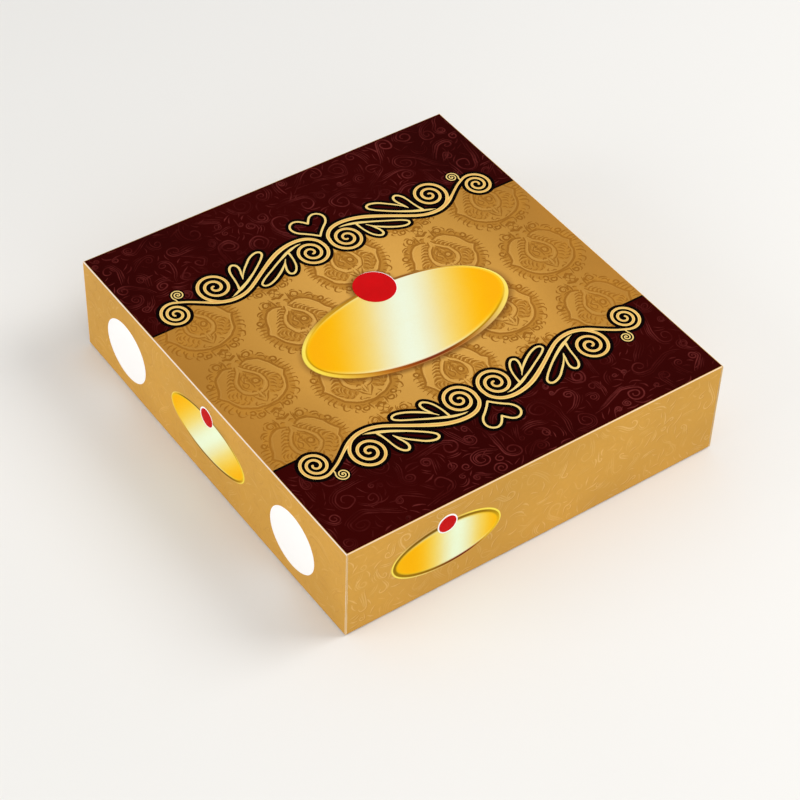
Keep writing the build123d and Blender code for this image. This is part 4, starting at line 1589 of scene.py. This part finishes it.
def base_wall(side):
    """One wall of the tray: folded up from the floor, and over the rim as far as the board's middle."""
    place, reach = tray_side(side)
    across = side in ("front", "back")
    half = reach - T if across else reach
    prof = [(T, 0.0)] + arc2(T, T, T, 270, 180, 6)[1:]
    kind = [0] * len(prof)
    z = 5.0
    while z < BZ - 3.0:
        prof.append((0.0, z))
        kind.append(0)
        z += 6.0
    for p in arc2(T, BZ - T, T, 180, 90, 6):
        prof.append(p)
        kind.append(0)
    z = BZ - 4.0
    while z > 3.0:
        prof.append((T, z))
        kind.append(1)
        z -= 6.0
    prof.append((T, T))
    kind.append(1)
    b = Build(shape=base_shape)
    rows = []
    for a in lengths(half, True, 6.0):
        end = half - abs(a)
        tuck = 0.45 - math.sqrt(max(0.0, 0.45 ** 2 - (0.45 - end) ** 2)) if across and end < 0.45 else 0.0
        rows.append([b.vert(place(a, zz, -max(d, tuck))) for d, zz in prof])
    m = len(prof)
    for r0, r1 in zip(rows, rows[1:]):
        for k in range(m):
            q = (k + 1) % m
            b.face((r0[k], r0[q], r1[q], r1[k]), 1 if kind[k] and kind[q] else 0)
    b.face(list(reversed(rows[0])), 2)
    b.face(rows[-1], 2)
    b.make("base_%s_wall_board" % side, [M_WHITE_BOARD, M_GREY_BACK, M_CORE], "base", ["base_%s_wall" % side])


def turned_in(b, place, half, rim, end, taper, step=6.0, mats=(0, 1, 2)):
    """Board folded over a rim: a rounded fold, then a flat inner face with leaning ends. rim and end are heights."""
    up = 1.0 if end > rim else -1.0
    h = abs(end - rim)
    prof, kind = [(T + 0.012, rim)], [0]
    for i in range(1, 7):
        t = math.pi / 2 * i / 6
        prof.append((T + T * math.sin(t), rim + up * T * (1 - math.cos(t))))
        kind.append(0)
    n = max(2, int(h / 5.0))
    for i in range(1, n):
        prof.append((2 * T, rim + up * (T + (h - T - 0.07) * i / n)))
        kind.append(0)
    prof += [(2 * T, end - up * 0.07), (2 * T - 0.07, end), (T + 0.08, end), (T + 0.012, end - up * 0.07)]
    kind += [0, 2, 2, 1]
    for i in range(n - 1, 0, -1):
        prof.append((T + 0.012, rim + up * (T + (h - T - 0.07) * i / n)))
        kind.append(1)
    count = max(8, int(2 * half / step))
    fr = [-1.0, -1.0 + 0.4 / half] + [-1.0 + 2.0 * i / count for i in range(1, count)] + [1.0 - 0.4 / half, 1.0]
    rows = []
    for f in fr:
        row = []
        for d, z in prof:
            reach = half - taper * abs(z - rim) / h
            row.append(b.vert(place(f * reach, z, -d)))
        rows.append(row)
    m = len(prof)
    for r0, r1 in zip(rows, rows[1:]):
        for k in range(m):
            q = (k + 1) % m
            b.face((r0[k], r0[q], r1[q], r1[k]), mats[max(kind[k], kind[q]) if 2 in (kind[k], kind[q]) else (1 if kind[k] == 1 and kind[q] == 1 else 0)])
    b.face(list(reversed(rows[0])), mats[2])
    b.face(rows[-1], mats[2])


# the lid's hems show the printed side; the tray's show the white one
for s, (place, reach) in SIDES.items():
    half = (HX - 2 * T - HEM_GAP) if s in ("front", "back") else (HY - T - TAB_L - HEM_GAP)
    b = Build(shape=lid_shape)
    turned_in(b, place, half, FOOT, FOOT + HEM_H, HEM_TAPER)
    b.make("lid_%s_hem_board" % s, [M_SIDE, M_GREY_BACK, M_CORE], "lid", ["lid_%s_hem" % s])
for s in ("front", "back", "left", "right"):
    place, reach = tray_side(s)
    half = (BX - 2 * T - HEM_GAP) if s in ("front", "back") else (BY - T - TAB_L - HEM_GAP)
    b = Build(shape=base_shape)
    turned_in(b, place, half, BZ, T + 0.4, 0.6)
    b.make("base_%s_inner_board" % s, [M_WHITE_BOARD, M_GREY_BACK, M_CORE], "base", ["base_%s_inner_wall" % s])
    base_wall(s)
tabs("base_corner_tab_boards", BX, BY, T + 0.4, BZ - 0.6, "base_corner_tabs", "base", [M_GREY_BACK, M_CORE], base_shape)


def sheet(name, hx, hy, step, lift, thick, mats, body, replaces, shape=None):
    """A loose sheet: lift(x, y) is the height of its underside."""
    b = Build(shape=shape)
    nx, ny = int(2 * hx / step), int(2 * hy / step)
    xs = [-hx + 2 * hx * i / nx for i in range(nx + 1)]
    ys = [-hy + 2 * hy * j / ny for j in range(ny + 1)]
    low = [[b.vert((x, y, lift(x, y))) for y in ys] for x in xs]
    high = [[b.vert((x, y, b.v[low[i][j]][2] + thick)) for j, y in enumerate(ys)] for i, x in enumerate(xs)]
    for i in range(nx):
        for j in range(ny):
            b.face((high[i][j], high[i + 1][j], high[i + 1][j + 1], high[i][j + 1]), 0)
            b.face((low[i][j], low[i][j + 1], low[i + 1][j + 1], low[i + 1][j]), 1)
    for i in range(nx):
        for j in (0, ny):
            b.face((low[i][j], low[i + 1][j], high[i + 1][j], high[i][j]), 1)
    for j in range(ny):
        for i in (0, nx):
            b.face((low[i][j], low[i][j + 1], high[i][j + 1], high[i][j]), 1)
    return b.make(name, mats, body, replaces, smooth=40.0, flat_map=True)


def lining_paper():
    m = Mat("lining_paper", spec=0.3)
    c = m.mix(m.remap(m.noise(14.0, 3.0, 0.55), 0.3, 0.7), srgb(238, 234, 224), srgb(228, 222, 208))
    fibre = m.noise(1500.0, 4.0, 0.7, co=m.stretch(1.0, 0.3, 1.0, rot=(0, 0, 0.4)))
    c = m.mix(m.remap(fibre, 0.58, 0.74, 0.0, 0.30), c, srgb(206, 198, 180))
    m.set("Base Color", c)
    m.set("Roughness", m.remap(m.noise(240.0, 4.0, 0.6), 0.3, 0.7, 0.52, 0.66))
    m.set("Normal", m.bump(m.math("ADD", fibre, m.noise(36.0, 4.0, 0.6)), 0.3, 0.00012))
    return m.m


def foil_paper():
    m = Mat("foil_paper", metallic=0.85, spec=0.5)
    cell = m.voronoi(460.0)
    c = m.mix(m.remap(cell, 0.1, 0.7), srgb(214, 172, 92), srgb(240, 204, 128))
    c = m.mix(m.remap(m.noise(36.0, 4.0, 0.6), 0.35, 0.7, 0.0, 0.5), c, srgb(198, 150, 72))
    m.set("Base Color", c)
    m.set("Roughness", m.math("ADD", m.remap(cell, 0.1, 0.6, 0.22, 0.34), m.remap(m.noise(110.0, 4.0, 0.6), 0.4, 0.75, 0.0, 0.14)))
    h = m.math("ADD", m.math("MULTIPLY", cell, 0.6), m.math("MULTIPLY", m.noise(260.0, 5.0, 0.6), 0.7))
    m.set("Normal", m.bump(h, 0.7, 0.0002))
    return m.m


M_LINING = lining_paper()
M_FOIL_PAPER = foil_paper()


def crease(x, y, z, octaves=4):
    """Sharp-edged folds of handled paper, 0 to 1."""
    total, amp, norm = 0.0, 1.0, 0.0
    p = Vector((x, y, z))
    for _ in range(octaves):
        total += amp * abs(noise.noise(p))
        norm += amp * 0.55
        p = p * 2.03 + Vector((3.1, 7.7, 1.3))
        amp *= 0.5
    return min(1.0, total / norm)


def lid_lining_lift(x, y):
    hx, hy = HX - 2 * T - 0.3, HY - 2 * T - 0.3
    edge = min(hx - abs(x), hy - abs(y))
    calm = min(1.0, max(0.0, (edge - 3.0) / 22.0))
    return HZ - T - 0.17 - calm * (0.5 * crease(x / 46.0, y / 46.0, 2.0, 3) + 0.25 * math.sin(x / 31.0 + 1.0) ** 2)


def foil_lift(x, y):
    hx, hy = BX - T - 0.3, BY - T - 0.3
    edge = min(hx - abs(x), hy - abs(y), abs(x) - 0.2, abs(y) - 0.2)
    calm = min(1.0, max(0.0, (edge - 1.0) / 9.0))
    return T + 0.006 + calm * (0.72 * crease(x / 17.0, y / 17.0, 5.0, 4) + 0.04)


sheet("lid_lining_paper", HX - 2 * T - 0.3, HY - 2 * T - 0.3, 3.4, lid_lining_lift, 0.14, [M_LINING, M_LINING], "lid", ["lid_lining_sheet"], lid_shape)
sheet("base_foil_paper", BX - T - 0.3, BY - T - 0.3, 1.7, foil_lift, 0.10, [M_FOIL_PAPER, M_LINING], "base", ["base_foil_lining"])


def base_floor():
    b = Build()
    hx, hy = BX - T, BY - T
    quad = [(-hx, -hy), (hx, -hy), (hx, hy), (-hx, hy)]
    slab(b, quad, 0.0, T, 8.0, (0, 1, 2))
    b.make("base_floor_board", [M_WHITE_BOARD, M_GREY_BACK, M_CORE], "base", ["base_floor_panel"])


def slab(b, loop, h0, h1, grid, mats, flat=None):
    """A flat board of any outline between two heights; mats are its low face, high face and edge."""
    loop = cleaned(loop, True)
    bm = bmesh.new()
    vs = [bm.verts.new((x, y, 0.0)) for x, y in loop]
    bm.faces.new(vs)
    bm.normal_update()
    bmesh.ops.triangulate(bm, faces=bm.faces[:], quad_method="BEAUTY", ngon_method="EAR_CLIP")
    for axis in (0, 1):
        lo, hi = min(p[axis] for p in loop), max(p[axis] for p in loop)
        k = math.floor(lo / grid) + 1
        while k * grid < hi - 0.01:
            co, no = [0.0, 0.0, 0.0], [0.0, 0.0, 0.0]
            co[axis], no[axis] = k * grid, 1.0
            bmesh.ops.bisect_plane(bm, geom=bm.verts[:] + bm.edges[:] + bm.faces[:], plane_co=co, plane_no=no)
            k += 1
    bm.verts.index_update()
    lowv = {v.index: b.vert((v.co.x, v.co.y, h0)) for v in bm.verts}
    topv = {v.index: b.vert((v.co.x, v.co.y, h1)) for v in bm.verts}
    for f in bm.faces:
        ids = [v.index for v in f.verts]
        b.face([topv[i] for i in ids], mats[1])
        b.face([lowv[i] for i in reversed(ids)], mats[0])
    for e in bm.edges:
        if len(e.link_faces) == 1:
            i, j = e.verts[0].index, e.verts[1].index
            b.face((topv[i], topv[j], lowv[j], lowv[i]), mats[2])
    bm.free()


base_floor()

# the two half-lapped strips of the divider
DIV_T, DIV_Z0, DIV_Z1, DIV_MID, SLOT, CLIP = 0.8, 0.85, 50.85, 25.85, 0.5, 3.0


def strip_loop(half, from_top):
    def corner(x, z, sx, sz):
        # a clipped corner whose two angles are softened by the cutter
        return [(x - sx * CLIP - sx * 0.5, z), (x - sx * CLIP + sx * 0.1, z - sz * 0.12), (x - sx * 0.12, z - sz * CLIP + sz * 0.1), (x, z - sz * CLIP - sz * 0.5)]
    pts = [(-half, DIV_Z0)]
    if not from_top:
        pts += [(-SLOT, DIV_Z0), (-SLOT, DIV_MID + 0.2), (SLOT, DIV_MID + 0.2), (SLOT, DIV_Z0)]
    pts += [(half, DIV_Z0)] + list(reversed(corner(half, DIV_Z1, 1, 1)))
    if from_top:
        pts += [(SLOT, DIV_Z1), (SLOT, DIV_MID - 0.2), (-SLOT, DIV_MID - 0.2), (-SLOT, DIV_Z1)]
    pts += corner(-half, DIV_Z1, -1, 1)
    return pts


def divider(name, node, half, from_top, place, wave):
    def bend(p):
        a, z, d = (p[1], p[2], p[0]) if from_top else (p[0], p[2], p[1])
        free = max(0.0, min(1.0, (abs(a) - 3.0) / 30.0)) * max(0.0, min(1.0, (half - abs(a)) / 12.0))
        lift = min(1.0, max(0.0, (z - 1.0) / 30.0))
        s = free * lift * wave * math.sin(a / 24.0 + (0.4 if a > 0 else 2.2))
        return (p[0] + s, p[1], p[2]) if from_top else (p[0], p[1] + s, p[2])
    b = Build(place, bend)
    slab(b, strip_loop(half, from_top), -DIV_T / 2, DIV_T / 2, 5.0, (0, 0, 1))
    b.make(name, [M_DIVIDER, M_CORE], "base", [node], flat_map=False)


divider("divider_long_board", "divider_long_strip", BY - 2 * T - 0.3, True, lambda a, z, h: (h, a, z), 0.34)
divider("divider_cross_board", "divider_cross_strip", BX - 2 * T - 0.3, False, lambda a, z, h: (a, -h, z), 0.30)


# ---------------------------------------------------------------------------
# stage: floor, light, camera
# ---------------------------------------------------------------------------
def stage_floor():
    me = bpy.data.meshes.new("floor")
    s = 4.0
    me.from_pydata([(-s, -s, 0), (s, -s, 0), (s, s, 0), (-s, s, 0)], [], [(0, 1, 2, 3)])
    m = Mat("floor_pale", roughness=0.9)
    c = m.mix(m.noise(3.0, 2.0), srgb(232, 231, 228), srgb(236, 235, 233))
    m.set("Base Color", c)
    me.materials.append(m.m)
    ob = bpy.data.objects.new("floor", me)
    bpy.context.scene.collection.objects.link(ob)


def area(name, loc, target, size, power, color=(1, 1, 1)):
    li = bpy.data.lights.new(name, "AREA")
    li.shape = "RECTANGLE"
    li.size, li.size_y = size
    li.energy = power
    li.color = color
    ob = bpy.data.objects.new(name, li)
    ob.location = loc
    ob.rotation_euler = (Vector(target) - Vector(loc)).to_track_quat("-Z", "Y").to_euler()
    bpy.context.scene.collection.objects.link(ob)


def stage():
    stage_floor()
    w = bpy.data.worlds.new("studio")
    w.use_nodes = True
    bg = w.node_tree.nodes["Background"]
    bg.inputs[0].default_value = (1.0, 0.997, 0.99, 1.0)
    bg.inputs[1].default_value = 0.62
    bpy.context.scene.world = w
    area("key", (0.88, -0.42, 1.1), (0, 0, 0.03), (0.8, 0.8), 10.2, (1.0, 0.988, 0.972))
    area("fill_front", (-0.5, -1.3, 0.75), (0, 0, 0.03), (1.2, 0.9), 4.2, (1.0, 0.995, 0.985))
    area("fill_left", (-1.3, 0.25, 0.52), (0, 0, 0.03), (1.0, 0.8), 6.0, (1.0, 0.99, 0.97))
    sc = bpy.context.scene
    sc.view_settings.view_transform = "Standard"
    sc.view_settings.look = "None"
    sc.view_settings.exposure = 0.0
    sc.view_settings.gamma = 1.0


def photo_camera():
    """The photograph's view: found from the box's seven visible corners."""
    az, el, roll = math.radians(-36.60), math.radians(44.74), math.radians(2.232)
    unit_m = 0.230
    dist, tx, ty, f = 5.0508 * unit_m, 0.0086 * unit_m, -0.0974 * unit_m, 2377.0
    backw = Vector((math.sin(az) * math.cos(el), -math.cos(az) * math.cos(el), math.sin(el)))
    xc = Vector((0, 0, 1)).cross(backw).normalized()
    yc = backw.cross(xc)
    x2 = xc * math.cos(roll) + yc * math.sin(roll)
    y2 = -xc * math.sin(roll) + yc * math.cos(roll)
    cam = bpy.data.cameras.new("photo_camera")
    cam.sensor_width = 36.0
    cam.lens = f / 800.0 * 36.0
    cam.clip_start, cam.clip_end = 0.05, 20.0
    ob = bpy.data.objects.new("photo_camera", cam)
    rot = Matrix((x2, y2, backw)).transposed()
    pos = Vector((0, 0, 0.0275)) + backw * dist + x2 * tx + y2 * ty
    ob.matrix_world = Matrix.Translation(pos) @ rot.to_4x4()
    bpy.context.scene.collection.objects.link(ob)
    bpy.context.scene.camera = ob


stage()
photo_camera()
